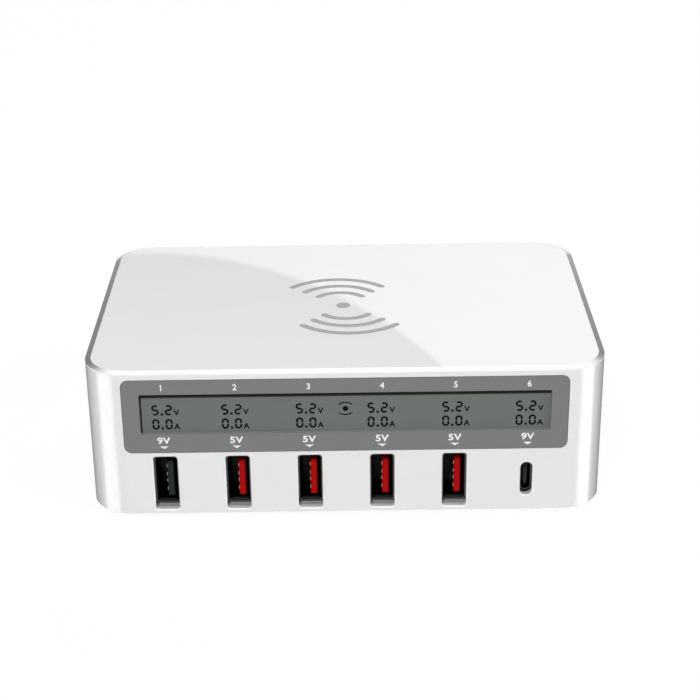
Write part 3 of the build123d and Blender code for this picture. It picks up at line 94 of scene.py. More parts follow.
class Bench:
    """Bpy operators with what they work on selected first; marks are drawn flat, in millimetres."""

    @staticmethod
    def clear() -> None:
        """Leave edit mode and deselect everything."""
        if bpy.context.mode != "OBJECT":
            bpy.ops.object.mode_set(mode="OBJECT")
        bpy.ops.object.select_all(action="DESELECT")

    @staticmethod
    def hold(*pieces: Piece) -> None:
        """Select these pieces alone and make the last one active.

        Args:
            pieces: the pieces.
        """
        Bench.clear()
        for piece in pieces:
            piece.select_set(True)
            bpy.context.view_layer.objects.active = piece

    @staticmethod
    def call(piece: Piece, name: str) -> Piece:
        """Give a piece and its mesh a name."""
        piece.name = piece.data.name = name
        return piece

    @staticmethod
    def settle(piece: Piece) -> Piece:
        """Put a piece's place, turn and scale into its mesh.

        Args:
            piece: the mesh object.

        Returns:
            The same piece.
        """
        Bench.hold(piece)
        bpy.ops.object.transform_apply(location=True, rotation=True, scale=True)
        return piece

    @staticmethod
    def block(name: str, length: float, width: float, x: float = 0.0, y: float = 0.0) -> Piece:
        """Start a mark as a flat block.

        Args:
            name: the piece's name.
            length: its length along X.
            width: its width along Y.
            x: X of its middle.
            y: Y of its middle.

        Returns:
            The new mesh object.
        """
        Bench.clear()
        bpy.ops.mesh.primitive_cube_add(size=1.0, location=(x, y, MARK_MIDDLE))
        piece = Bench.call(bpy.context.object, name)
        piece.scale = (length, width, MARK_DEPTH)
        return Bench.settle(piece)

    @staticmethod
    def disc(name: str, radius: float, sides: int) -> Piece:
        """Start a mark as a flat disc on the Z axis.

        Args:
            name: the piece's name.
            radius: its radius.
            sides: how many sides its rim has.

        Returns:
            The new mesh object.
        """
        Bench.clear()
        bpy.ops.mesh.primitive_cylinder_add(
            vertices=sides, radius=radius, depth=MARK_DEPTH, location=(0.0, 0.0, MARK_MIDDLE)
        )
        return Bench.settle(Bench.call(bpy.context.object, name))

    @staticmethod
    def pick(piece: Piece, kind: Pick, rule: Rule) -> None:
        """Open a piece in edit mode with the elements that a rule names selected.

        Args:
            piece: the mesh object to open.
            kind: edges or faces.
            rule: takes an element's middle, and an edge's direction or a face's normal.
        """
        Bench.hold(piece)
        mesh = piece.data
        for group in (mesh.vertices, mesh.edges, mesh.polygons):
            group.foreach_set("select", [False] * len(group))
        if kind is Pick.FACES:
            for face in mesh.polygons:
                face.select = rule(face.center, face.normal)
        else:
            for edge in mesh.edges:
                start, end = (mesh.vertices[index].co for index in edge.vertices)
                edge.select = rule((start + end) / 2, (end - start).normalized())
        bpy.context.tool_settings.mesh_select_mode = kind.value
        bpy.ops.object.mode_set(mode="EDIT")

    @staticmethod
    def bevel(piece: Piece, rule: Rule, offset: float, segments: int = 1) -> Piece:
        """Bevel the edges that a rule names.

        Args:
            piece: the mesh object.
            rule: as for pick, on edges.
            offset: how far the bevel reaches from the edge.
            segments: 1 for a chamfer, more for a round.

        Returns:
            The same piece.
        """
        Bench.pick(piece, Pick.EDGES, rule)
        bpy.ops.mesh.bevel(offset=offset, segments=segments, profile=0.5, affect="EDGES")
        Bench.clear()
        return piece

    @staticmethod
    def tidy(piece: Piece) -> Piece:
        """Merge a piece's doubles and turn its faces outwards.

        Args:
            piece: the mesh object.

        Returns:
            The same piece.
        """
        Bench.pick(piece, Pick.FACES, lambda middle, normal: True)
        bpy.ops.mesh.select_all(action="SELECT")
        bpy.ops.mesh.remove_doubles(threshold=MERGE_DISTANCE)
        bpy.ops.mesh.normals_make_consistent(inside=False)
        Bench.clear()
        return piece

    @staticmethod
    def copy(piece: Piece, name: str, shift: Triple = ORIGIN) -> Piece:
        """Copy a piece with a mesh of its own.

        Args:
            piece: what is copied.
            name: the copy's name.
            shift: where the copy goes from there.

        Returns:
            The copy.
        """
        Bench.hold(piece)
        bpy.ops.object.duplicate(linked=False)
        twin = Bench.call(bpy.context.object, name)
        twin.location = Vector(twin.location) + Vector(shift)
        return Bench.settle(twin)

    @staticmethod
    def join(name: str, pieces: list[Piece]) -> Piece:
        """Make one piece of several.

        Args:
            name: its name.
            pieces: the several.

        Returns:
            The one piece.
        """
        Bench.hold(*pieces)
        bpy.ops.object.join()
        return Bench.call(bpy.context.object, name)

    @staticmethod
    def discard(*pieces: Piece) -> None:
        """Remove patterns that only copies were taken from."""
        Bench.hold(*pieces)
        bpy.ops.object.delete()

    @staticmethod
    def letters(name: str, words: str, height: float, weight: float, widen: float = 1.0) -> Piece:
        """Cut letters, centred on the origin in X and standing on the X axis.

        Args:
            name: the piece's name.
            words: what is written.
            height: height of the letters.
            weight: how much the strokes are thickened, as a share of the type size.
            widen: how much the letters are drawn out sideways.

        Returns:
            The letters as a mesh object.
        """
        Bench.clear()
        bpy.ops.object.text_add()
        written = bpy.context.object
        written.data.body = words
        written.data.align_x = "CENTER"
        written.data.offset = weight
        written.data.space_character = LETTER_SPACING
        written.data.extrude = 0.5  # to either side, so the letters are one unit thick
        written.data.resolution_u = LETTER_STEPS
        bpy.ops.object.convert(target="MESH")
        piece = Bench.call(bpy.context.object, name)
        left, foot, _ = piece.bound_box[BOX_LOW]
        right, crown, _ = piece.bound_box[BOX_HIGH]
        scale = height / (crown - foot)
        piece.scale = (scale * widen, scale, MARK_DEPTH)
        piece.location = (-scale * widen * (left + right) / 2, -scale * foot, MARK_MIDDLE)
        return Bench.tidy(Bench.settle(piece))

    @staticmethod
    def stroke(name: str, radius: float, spread: float, width: float) -> Piece:
        """Draw a round-ended arc about the origin, its middle towards +Y.

        Args:
            name: the piece's name.
            radius: radius of the middle of the line.
            spread: angle from the arc's middle to either end.
            width: width of the line.

        Returns:
            The arc as a mesh object.
        """
        steps = max(STROKE_STEPS, int(degrees(spread) / STROKE_TURN))
        piece = Bench.block(name, CAP_LENGTH * width, width, 0.0, radius)
        piece.rotation_euler.z = spread
        Bench.settle(piece)
        ahead = Vector((cos(spread), sin(spread), 0.0))
        Bench.pick(piece, Pick.FACES, lambda middle, normal: normal.dot(ahead) > NEARLY)
        bpy.ops.mesh.spin(steps=steps, angle=2 * spread, center=ORIGIN, axis=UPWARDS)
        Bench.tidy(piece)

        def at_end(middle: Vector, direction: Vector) -> bool:
            """Whether an edge stands upright at one of the arc's ends."""
            return abs(atan2(middle.x, middle.y)) > spread and upright(middle, direction)

        return Bench.bevel(piece, at_end, CAP_ROUND * width, CAP_STEPS)

    @staticmethod
    def mount(piece: Piece, place: Vector, tilt: float = 0.0) -> Piece:
        """Scale a flat mark to metres, tilt it up and put its origin at a place.

        Args:
            piece: the mark.
            place: where its origin goes.
            tilt: its angle to the table.

        Returns:
            The same piece.
        """
        piece.rotation_euler.x = tilt
        piece.scale = (MM, MM, MM)
        piece.location = place
        return Bench.settle(piece)


# Shader maths

def operator(operation: str, swapped: bool = False) -> Callable[["Sock", "Term"], "Sock"]:
    """Make a Sock's method for an operator.

    Args:
        operation: the Math node's operation.
        swapped: whether the Sock is the second term.

    Returns:
        The method.
    """
    def apply(sock: "Sock", other: "Term") -> "Sock":
        """Add the operator's Math node."""
        return sock.math(operation, other, sock) if swapped else sock.math(operation, sock, other)
    return apply


class Sock:
    """A node socket that takes part in Python arithmetic: each operator adds one Math node."""

    __add__, __radd__ = operator("ADD"), operator("ADD", True)
    __sub__, __rsub__ = operator("SUBTRACT"), operator("SUBTRACT", True)
    __mul__, __rmul__ = operator("MULTIPLY"), operator("MULTIPLY", True)
    __lt__, __gt__ = operator("LESS_THAN"), operator("GREATER_THAN")

    def __init__(self, graph: "Graph", socket: bpy.types.NodeSocket) -> None:
        """Wrap an output socket of a graph."""
        self.graph = graph
        self.socket = socket

    def math(self, operation: str, first: "Term", second: "Term" = 0.0) -> "Sock":
        """Add a Math node on two terms."""
        return self.graph.out("ShaderNodeMath", 0, {"operation": operation}, {0: first, 1: second})

    def swing(self, amount: float) -> "Sock":
        """Turn a noise into a swing about nought, of an amount from end to end."""
        return amount * (self - NOISE_MIDDLE)

    def fade(self, low: float, high: float) -> "Sock":
        """Rise smoothly from 0 at low to 1 at high."""
        settings = {"interpolation_type": "SMOOTHSTEP", "clamp": True}
        return self.graph.out("ShaderNodeMapRange", "Result", settings,
                              {"Value": self, "From Min": low, "From Max": high})


Term = Union[Sock, float]


class Graph:
    """One node tree, with the calls that the finishes share."""

    def __init__(self, tree: bpy.types.NodeTree) -> None:
        """Start on an emptied tree."""
        self.tree = tree
        tree.nodes.clear()

    def node(self, kind: str, settings: Optional[dict] = None,
             sockets: Optional[dict] = None) -> bpy.types.Node:
        """Add any node.

        Args:
            kind: the node's type.
            settings: its properties, set before the inputs.
            sockets: a value or a Sock for each named or numbered input.

        Returns:
            The node.
        """
        made = self.tree.nodes.new(kind)
        for key, value in (settings or {}).items():
            setattr(made, key, value)
        for key, value in (sockets or {}).items():
            if isinstance(value, Sock):
                self.tree.links.new(value.socket, made.inputs[key])
            else:
                made.inputs[key].default_value = value
        return made

    def out(self, kind: str, output: Union[int, str], settings: Optional[dict] = None,
            sockets: Optional[dict] = None) -> Sock:
        """Add any node and return one of its outputs."""
        return Sock(self, self.node(kind, settings, sockets).outputs[output])

    def place(self, squeeze: Triple = (1.0, 1.0, 1.0)) -> Sock:
        """Object coordinates, squeezed by a factor along each axis."""
        spot = self.out("ShaderNodeTexCoord", "Object")
        return self.out("ShaderNodeMapping", "Vector", {}, {"Vector": spot, "Scale": squeeze})

    def axis(self, name: str) -> Sock:
        """One Object coordinate, X, Y or Z."""
        spot = self.out("ShaderNodeTexCoord", "Object")
        return self.out("ShaderNodeSeparateXYZ", name, {}, {"Vector": spot})

    def noise(self, place: Sock, size: float, detail: float = 2.0) -> Sock:
        """Noise from 0 to 1 with features of about a size."""
        sockets = {"Vector": place, "Scale": 1.0 / size, "Detail": detail, "Roughness": NOISE_ROUGHNESS}
        return self.out("ShaderNodeTexNoise", 0, {"noise_dimensions": "3D"}, sockets)

    def wave(self, kind: str, way: str, pitch: float) -> Sock:
        """Lines a pitch apart, from 0 to 1: BANDS across an axis or RINGS round it."""
        settings = {"wave_type": kind, f"{kind.lower()}_direction": way, "wave_profile": "SIN"}
        return self.out("ShaderNodeTexWave", "Fac", settings,
                        {"Vector": self.place(), "Scale": WAVE_PITCH / pitch})

    def mix(self, factor: Term, first: Union[Sock, Colour], second: Union[Sock, Colour]) -> Sock:
        """Mix two colours."""
        sockets = {MIX_FACTOR: factor, MIX_FIRST: rgba(first), MIX_SECOND: rgba(second)}
        return self.out("ShaderNodeMix", MIX_RESULT, {"data_type": "RGBA"}, sockets)

    def bump(self, height: Sock, depth: float) -> Sock:
        """A normal from a height between 0 and 1 and a real depth."""
        sockets = {"Strength": 1.0, "Distance": depth, "Height": height}
        return self.out("ShaderNodeBump", "Normal", {}, sockets)


def rgba(colour: Union[Sock, Colour]) -> Union[Sock, tuple]:
    """Give a plain colour its alpha; a Sock passes through."""
    return colour if isinstance(colour, Sock) else (*colour, 1.0)


def shade(colour: Colour, factor: float) -> Colour:
    """A colour made lighter or darker by a factor."""
    return tuple(min(1.0, channel * factor) for channel in colour)


# Finishes

@dataclass(frozen=True)
class Finish:
    """What the finishes share: a name, a colour, a gloss and a faint unevenness."""

    name: str
    colour: Colour  # linear base colour
    roughness: float = 0.4  # how matt it is
    mottle: float = 0.015  # how much the colour drifts over a piece
    mottle_size: float = 14 * MM  # how wide such a drift is
    grain_size: float = 0.3 * MM  # how wide the grain is
    grain_depth: float = 0.001 * MM  # how deep the grain is
    specular: float = 0.5  # strength of the gloss
    gloss_swing: float = 0.1  # how much the gloss changes over a piece

    def material(self) -> bpy.types.Material:
        """Build this finish's material.

        Returns:
            The material.
        """
        made = bpy.data.materials.new(self.name)
        made.use_nodes = True
        self.paint(Graph(made.node_tree))
        return made

    def drift(self, graph: Graph) -> Sock:
        """The slow unevenness, from 0 to 1."""
        return graph.noise(graph.place(), self.mottle_size, DRIFT_DETAIL)

    def grain(self, graph: Graph) -> Sock:
        """The fine unevenness, from 0 to 1."""
        return graph.noise(graph.place(), self.grain_size)

    def tint(self, graph: Graph) -> Sock:
        """The base colour with its drift."""
        dark, light = shade(self.colour, 1 - self.mottle), shade(self.colour, 1 + self.mottle)
        return graph.mix(self.drift(graph), dark, light)

    def coat(self, graph: Graph, colour: Sock, relief: Sock, metallic: Term = 0.0,
             roughness: Optional[Sock] = None) -> None:
        """Finish the material with this finish's gloss and depth of grain.

        Args:
            graph: the material's graph.
            colour: its base colour.
            relief: its grain, from 0 to 1.
            metallic: how much of it is metal.
            roughness: how matt it is, if that doesn't swing with the grain.
        """
        shader = graph.out("ShaderNodeBsdfPrincipled", 0, {}, {
            "Base Color": colour,
            "Metallic": metallic,
            "Roughness": roughness or self.roughness + relief.swing(self.gloss_swing),
            "Specular IOR Level": self.specular,
            "Normal": graph.bump(relief, self.grain_depth),
        })
        graph.node("ShaderNodeOutputMaterial", {}, {"Surface": shader})

    def paint(self, graph: Graph) -> None:
        """Lay this finish on a material's graph."""
        raise NotImplementedError


@dataclass(frozen=True)
class Moulded(Finish):
    """Injection-moulded plastic or rubber with a fine grain."""

    gloss_swing: float = 0.06

    def paint(self, graph: Graph) -> None:
        """Drifting colour and gloss over a fine grain."""
        roughness = self.roughness + self.drift(graph).swing(self.gloss_swing)
        self.coat(graph, self.tint(graph), self.grain(graph), roughness=roughness)


@dataclass(frozen=True)
class Recessed(Moulded):
    """Moulded plastic with painted shade inside a recess, the darker towards its back."""

    low: Triple = (-1.0, -1.0, -1.0)  # lowest corner of the box that holds the recess
    high: Triple = (1.0, 1.0, 1.0)  # its highest corner
    dark_from: float = 0.0  # the Y that the painted shade starts at
    dark_at: float = 0.0  # the Y that it is full at
    deep: Colour = (0.1, 0.105, 0.1)  # the painted shade's colour there

    def tint(self, graph: Graph) -> Sock:
        """The base colour, with the painted shade inside the recess.

        Args:
            graph: the material's graph.

        Returns:
            The colour.
        """
        # painted shade: darker towards the back, inside the box
        inside = graph.axis("Y").fade(self.dark_from, self.dark_at)
        for way, low, high in zip("XYZ", self.low, self.high):
            inside = inside * (graph.axis(way) > low) * (graph.axis(way) < high)
        return graph.mix(inside, super().tint(graph), self.deep)


@dataclass(frozen=True)
class PolishedLid(Finish):
    """Polished plastic whose bevelled edge is silvered, below a height."""

    edge_colour: Colour = (0.78, 0.78, 0.78)  # colour of the silvered edge
    edge_roughness: float = 0.22  # its gloss
    edge_height: float = 0.0  # the height that the silver ends at
    edge_blur: float = 0.01 * MM  # how far it fades out there

    def paint(self, graph: Graph) -> None:
        """Polish the face and silver the bevel.

        Args:
            graph: the material's graph.
        """
        blur = self.edge_blur
        silver = 1 - graph.axis("Z").fade(self.edge_height - blur, self.edge_height + blur)
        colour = graph.mix(silver, self.tint(graph), self.edge_colour)
        roughness = self.roughness + silver * (self.edge_roughness - self.roughness)
        self.coat(graph, colour, self.grain(graph), silver, roughness)


@dataclass(frozen=True)
class SheetMetal(Finish):
    """Rolled or drawn metal with fine lines along one way."""

    squeeze: Triple = (1.0, 1.0, 0.06)  # how much the lines are drawn out along each axis
    gloss_swing: float = 0.12

    def paint(self, graph: Graph) -> None:
        """Metal with drawn lines in its gloss and its relief."""
        lines = graph.noise(graph.place(self.squeeze), self.grain_size)
        self.coat(graph, self.tint(graph), lines, 1.0)


@dataclass(frozen=True)
class SocketShell(SheetMetal):
    """Dark sheet metal: its bare cut edge painted lighter as a highlight, and painted shade at its back.
    """

    # the cut edge's colour: bare metal, lighter as a painted highlight
    edge_colour: Colour = (0.12, 0.125, 0.12)
    edge_at: float = 0.0  # the Y that the cut edge ends at
    dark_at: float = 0.0  # the Y that the painted shade is full at
    deep: float = 0.5  # share of the colour that is left in the painted shade

    def tint(self, graph: Graph) -> Sock:
        """The metal's colour, with its lighter cut edge and its painted shade inside.

        Args:
            graph: the material's graph.

        Returns:
            The colour.
        """
        behind = graph.axis("Y")
        metal = super().tint(graph)
        # painted shade: darker towards the shell's back
        metal = graph.mix(behind.fade(self.edge_at, self.dark_at), metal, shade(self.colour, self.deep))
        # the cut edge: bare metal, painted lighter as a highlight
        return graph.mix(behind < self.edge_at, metal, self.edge_colour)


@dataclass(frozen=True)
class LcdCell(Finish):
    """Reflective display glass: a grey-green cell under a matt film, with faint electrode lines."""

    line_pitch: float = 0.42 * MM  # distance between electrode lines
    line_tone: float = 0.02  # how much of their own shade they show
    line_shade: float = 0.5  # that shade, as a share of the cell's colour
    edge_shade: float = 0.02  # the same for what is in the shade of the window's edges
    crown: float = 0.0  # Z above which the cell is in the shade of the upper edge
    crown_blur: float = 0.6 * MM  # how far that shade fades out downwards
    flank: float = 0.0  # X left of which it is in the shade of the left edge
    flank_blur: float = 0.35 * MM  # how far that shade fades out to the right

    def paint(self, graph: Graph) -> None:
        """Drifting cell colour crossed by electrode lines, shaded along two edges.

        Args:
            graph: the material's graph.
        """
        lines = graph.wave("BANDS", "X", self.line_pitch) * self.line_tone
        cell = graph.mix(lines, self.tint(graph), shade(self.colour, self.line_shade))
        lit = 1 - graph.axis("Z").fade(self.crown - self.crown_blur, self.crown)
        lit = lit * graph.axis("X").fade(self.flank, self.flank + self.flank_blur)
        colour = graph.mix(lit, shade(self.colour, self.edge_shade), cell)
        self.coat(graph, colour, self.grain(graph))


@dataclass(frozen=True)
class Ink(Finish):
    """Screen-printed ink or display segments, with the print's slight unevenness."""

    gloss_swing: float = 0.08

    def paint(self, graph: Graph) -> None:
        """Uneven ink over a fine screen."""
        self.coat(graph, self.tint(graph), self.grain(graph))


@dataclass(frozen=True)
class CircuitBoard(Finish):
    """Solder mask over copper tracks."""

    track_colour: Colour = (0.05, 0.22, 0.09)  # colour of the mask over a track
    track_pitch: float = 2.2 * MM  # distance between tracks
    track_core: float = 0.06  # half of a track's flat top, as a share of that distance
    track_foot: float = 0.1  # half of its foot, likewise

    def paint(self, graph: Graph) -> None:
        """Tracks raised under a glossy mask.

        Args:
            graph: the material's graph.
        """
        cells = graph.out(
            "ShaderNodeTexVoronoi", "Distance",
            {"feature": "DISTANCE_TO_EDGE", "distance": "EUCLIDEAN"},
            {"Vector": graph.place(), "Scale": 1.0 / self.track_pitch},
        )
        track = 1 - cells.fade(self.track_core, self.track_foot)
        colour = graph.mix(track, self.tint(graph), self.track_colour)
        roughness = self.roughness + self.drift(graph).swing(self.gloss_swing)
        self.coat(graph, colour, track, roughness=roughness)


@dataclass(frozen=True)
class Winding(Finish):
    """Enamelled wire wound in close turns round the Z axis."""

    wire: float = 0.5 * MM  # diameter of the wire
    groove_shade: float = 0.4  # share of the colour that is left between two turns
    gloss_swing: float = 0.15

    def paint(self, graph: Graph) -> None:
        """Turns as ridges with darker lines between them.

        Args:
            graph: the material's graph.
        """
        turns = graph.wave("RINGS", "Z", self.wire)
        colour = graph.mix(turns, shade(self.colour, self.groove_shade), self.tint(graph))
        self.coat(graph, colour, turns, 1.0, self.roughness + self.gloss_swing * (1 - turns))


@dataclass(frozen=True)
class Sleeve(Finish):
    """A shrink sleeve with a pale stripe down one side."""

    stripe_colour: Colour = (0.55, 0.56, 0.58)
    stripe_pitch: float = 10 * MM  # distance from stripe to stripe along X
    stripe_share: float = 0.2  # share of that distance that the stripe takes

    def paint(self, graph: Graph) -> None:
        """Sleeve colour with stripes and a faint shrink grain.

        Args:
            graph: the material's graph.
        """
        along = graph.axis("X") * (1 / self.stripe_pitch)
        stripe = along.math("FRACT", along) < self.stripe_share
        self.coat(graph, graph.mix(stripe, self.tint(graph), self.stripe_colour), self.grain(graph))


# The CAD nodes

@dataclass
class Wardrobe:
    """Gives every CAD node the finish of its slot, or one of its own."""

    white: Colour = (0.84, 0.84, 0.84)  # colour of the case and the lid
    lid_edge_drop: float = 0.02 * MM  # how far below the lid's crest the silvered bevel ends
    window_lap: float = 1.8 * MM  # how far the trim laps over the display
    window_shade: tuple[float, float] = (0.25 * MM, 1.2 * MM)  # reach of its left and upper shade
    cut_edge: float = 0.03 * MM  # depth of a shell's lighter cut edge: bare metal and painted highlight
    shell_depth: float = 1.2 * MM  # how far behind the mouth a shell's painted shade is full
    tongue_dark: tuple[float, float] = (0.6 * MM, 4.0 * MM)  # painted shade's start and end, from its front
    lead_in: float = 0.26 * MM  # depth of the cut-outs' rims, which stay white
    cut_out_margin: float = 1.2 * MM  # how far the cut-outs may reach past the shells
    cut_out_lead: float = 4.0 * MM  # how far before the shells' mouths the cut-outs' painted shade starts
    cut_out_tail: float = 1.9 * MM  # how far behind the mouths their painted shade is full
    cut_out_grey: Colour = (0.11, 0.11, 0.11)  # the painted shade's colour there
    worn: dict[str, bpy.types.Material] = field(default_factory=dict)  # materials so far, by name

    def slots(self) -> dict[str, Finish]:
        """The finish of each slot of the record.

        Returns:
            The finishes, by slot.
        """
        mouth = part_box("usb_a_shell_1")[0].y
        return {
            # the case and the base carry painted shade inside the socket cut-outs
            "case_white": Recessed("socket_wall_white", self.white, 0.17, grain_size=0.5 * MM,
                                   grain_depth=0.0004 * MM, **self.cut_outs()),
            "base_white": Recessed("fine_grain_white", (0.74, 0.74, 0.73), 0.5, grain_depth=0.006 * MM,
                                   **self.cut_outs()),
            "screw_steel": SheetMetal("blackened_steel", (0.32, 0.32, 0.33), 0.3),
            "trim_grey": Moulded("satin_grey", (0.186, 0.19, 0.189), 0.42, grain_size=0.2 * MM,
                                 grain_depth=0.0015 * MM),
            "lcd_cell": self.display(),
            "inner_plastic": Moulded("natural_nylon", (0.62, 0.6, 0.55), 0.45),
            "elastomer": Moulded("contact_rubber", (0.42, 0.2, 0.22), 0.6),
            "board_green": CircuitBoard("solder_mask", (0.015, 0.12, 0.045), 0.3, grain_depth=0.03 * MM),
            "copper": Winding("enamelled_copper", (0.74, 0.36, 0.16), 0.25, grain_depth=0.15 * MM),
            "ferrite": Moulded("ferrite", (0.03, 0.03, 0.032), 0.6, 0.2, 2 * MM, 0.2 * MM, 0.01 * MM),
            "can_sleeve": Sleeve("can_sleeve", (0.015, 0.02, 0.045), 0.35),
            "film_yellow": Moulded("film_yellow", (0.74, 0.5, 0.05), 0.35),
            "sink_aluminium": SheetMetal("extruded_aluminium", (0.8, 0.8, 0.81), 0.35),
            # dark nickel with painted shade towards the back and a cut edge painted lighter as a
            # highlight
            "socket_steel": SocketShell("dark_nickel", (0.024, 0.026, 0.025), 0.4, grain_size=0.12 * MM,
                                        squeeze=(1.0, 0.08, 1.0), edge_at=mouth + self.cut_edge,
                                        dark_at=mouth + self.shell_depth),
            "tongue_dark": self.dark_tongue(),
            # the tongues carry painted shade towards their backs
            "tongue_red": Recessed("tongue_red", (0.455, 0.004, 0.004), 0.42, specular=0.08,
                                   **self.tongue_shade()),
            "contact_gold": SheetMetal("plated_contact", (0.32, 0.35, 0.33), 0.3, grain_size=0.08 * MM),
            "foot_rubber": Moulded("foot_rubber", (0.04, 0.04, 0.042), 0.75, grain_depth=0.01 * MM),
            "inlet_black": Moulded("inlet_black", (0.02, 0.02, 0.021), 0.38, grain_depth=0.003 * MM),
            "pin_nickel": SheetMetal("bright_nickel", (0.74, 0.72, 0.67), 0.2),
        }

    def display(self) -> LcdCell:
        """The display's finish, shaded along the window's upper and left edges.

        Returns:
            The finish.
        """
        low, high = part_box("lcd_glass")
        flank, crown = self.window_shade
        return LcdCell("display_cell", (0.151, 0.172, 0.153), 0.34, 0.03, specular=0.2,
                       crown=high.z - self.window_lap - crown, flank=low.x + self.window_lap + flank)

    def dark_tongue(self) -> Recessed:
        """The dark green of the first tongue and of the small one, with painted shade behind their
        fronts.
        """
        return Recessed("tongue_dark_green", (0.02, 0.031, 0.021), 0.42, specular=0.12,
                        **self.tongue_shade())

    def tongue_shade(self) -> dict[str, float]:
        """How far behind its front a tongue's painted shade starts and is full."""
        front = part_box("usb_a_tongue_1")[0].y
        return {key: front + depth for key, depth in zip(("dark_from", "dark_at"), self.tongue_dark)}

    def own(self) -> dict[str, Finish]:
        """The finishes of single nodes.

        Returns:
            The finishes, by node.
        """
        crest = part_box("top_cover")[1].z
        lid = PolishedLid("polished_white", self.white, 0.015, grain_size=6 * MM,
                          grain_depth=0.0001 * MM, edge_height=crest - self.lid_edge_drop)
        return {"top_cover": lid, "usb_c_tongue": self.dark_tongue()}

    def cut_outs(self) -> dict[str, Union[Colour, float]]:
        """Where the socket cut-outs are, for the finishes that carry painted shade there.

        Returns:
            The fields of a finish with painted shade in a recess, by name.
        """
        left, mouth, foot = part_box(SOCKET_NODES[0])[0]
        front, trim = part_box("main_housing")[0].y + self.lead_in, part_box("display_trim")[0].z
        margin, back = self.cut_out_margin, mouth + self.cut_out_tail
        # painted shade inside the socket cut-outs, darkest behind the shells' mouths
        return {
            "low": (left - margin, front, foot - margin),
            "high": (margin - left, back + margin, trim - self.lead_in),
            "dark_from": mouth - self.cut_out_lead,
            "dark_at": back,
            "deep": self.cut_out_grey,
        }

    def dress(self, piece: Piece, finish: Finish) -> None:
        """Put a finish, whose material is built once, on every slot of a piece.

        Args:
            piece: the mesh object.
            finish: what it wears.
        """
        if finish.name not in self.worn:
            self.worn[finish.name] = finish.material()
        material = self.worn[finish.name]
        if not piece.material_slots:
            piece.data.materials.append(material)
        for slot in piece.material_slots:
            slot.material = material

    def dress_nodes(self) -> None:
        """Dress every CAD node."""
        slots, own = self.slots(), self.own()
        for part in frame["record"]["subparts"]:
            name = part["node"]
            finish = own.get(name, slots[part["material_slot"]])
            self.dress(frame["nodes"][name], finish)
            log.info("node %s wears %s", name, finish.name)


# What is shown and printed

@dataclass
class Marks:
    """What the sub-assemblies of marks share; they hold their lengths in millimetres."""

    wardrobe: Wardrobe  # keeps the materials

    def spot(self, name: str, radius: float, sides: int) -> Piece:
        """A flat disc with a bevelled upper rim."""
        piece = Bench.disc(name, radius, sides)
        return Bench.bevel(piece, lambda middle, way: middle.z > MARK_PROUD * NEARLY, MARK_PROUD / 2)

    def arcs(self, names: tuple[str, str], radius: float, spread: float, line: float,
             apex: float) -> tuple[Piece, Piece]:
        """Draw an arc beyond the origin, and a copy turned round to its other side.

        Args:
            names: the two arcs' names.
            radius: radius of the middle of their lines.
            spread: angle from an arc's middle to either end.
            line: width of the lines.
            apex: how far an arc's middle is from the origin.

        Returns:
            The arc and its copy.
        """
        arc = Bench.stroke(names[0], radius, spread, line)
        arc.location.y = apex - radius
        Bench.settle(arc)
        twin = Bench.copy(arc, names[1])
        twin.rotation_euler.z = pi
        return arc, Bench.settle(twin)

    def fit(self, piece: Piece, slot: str, ink: Finish) -> Piece:
        """Dress a finished mark and let it ride on the object.

        Args:
            piece: the mark.
            slot: its slot in the record; not used.
            ink: what it wears.

        Returns:
            The same piece.
        """
        self.wardrobe.dress(piece, ink)
        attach(piece, BODY)
        log.info("piece %s wears %s", piece.name, ink.name)
        return piece


def socket_places() -> list[float]:
    """The X of each socket's middle, from left to right."""
    return [sum(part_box(node), Vector()).x / 2 for node in SOCKET_NODES]


LYING = "adg"
SEGMENTS = {  # the middle of each segment of a figure, in widths and half heights
    "a": (0.5, 2), "b": (1, 1.5), "c": (1, 0.5), "d": (0.5, 0),
    "e": (0, 0.5), "f": (0, 1.5), "g": (0.5, 1),
}


class Digit(Enum):
    """The lit segments of a figure: a to f clockwise from the top, g in the middle."""

    ZERO = "abcdef"
    TWO = "abged"
    FIVE = "afgcd"


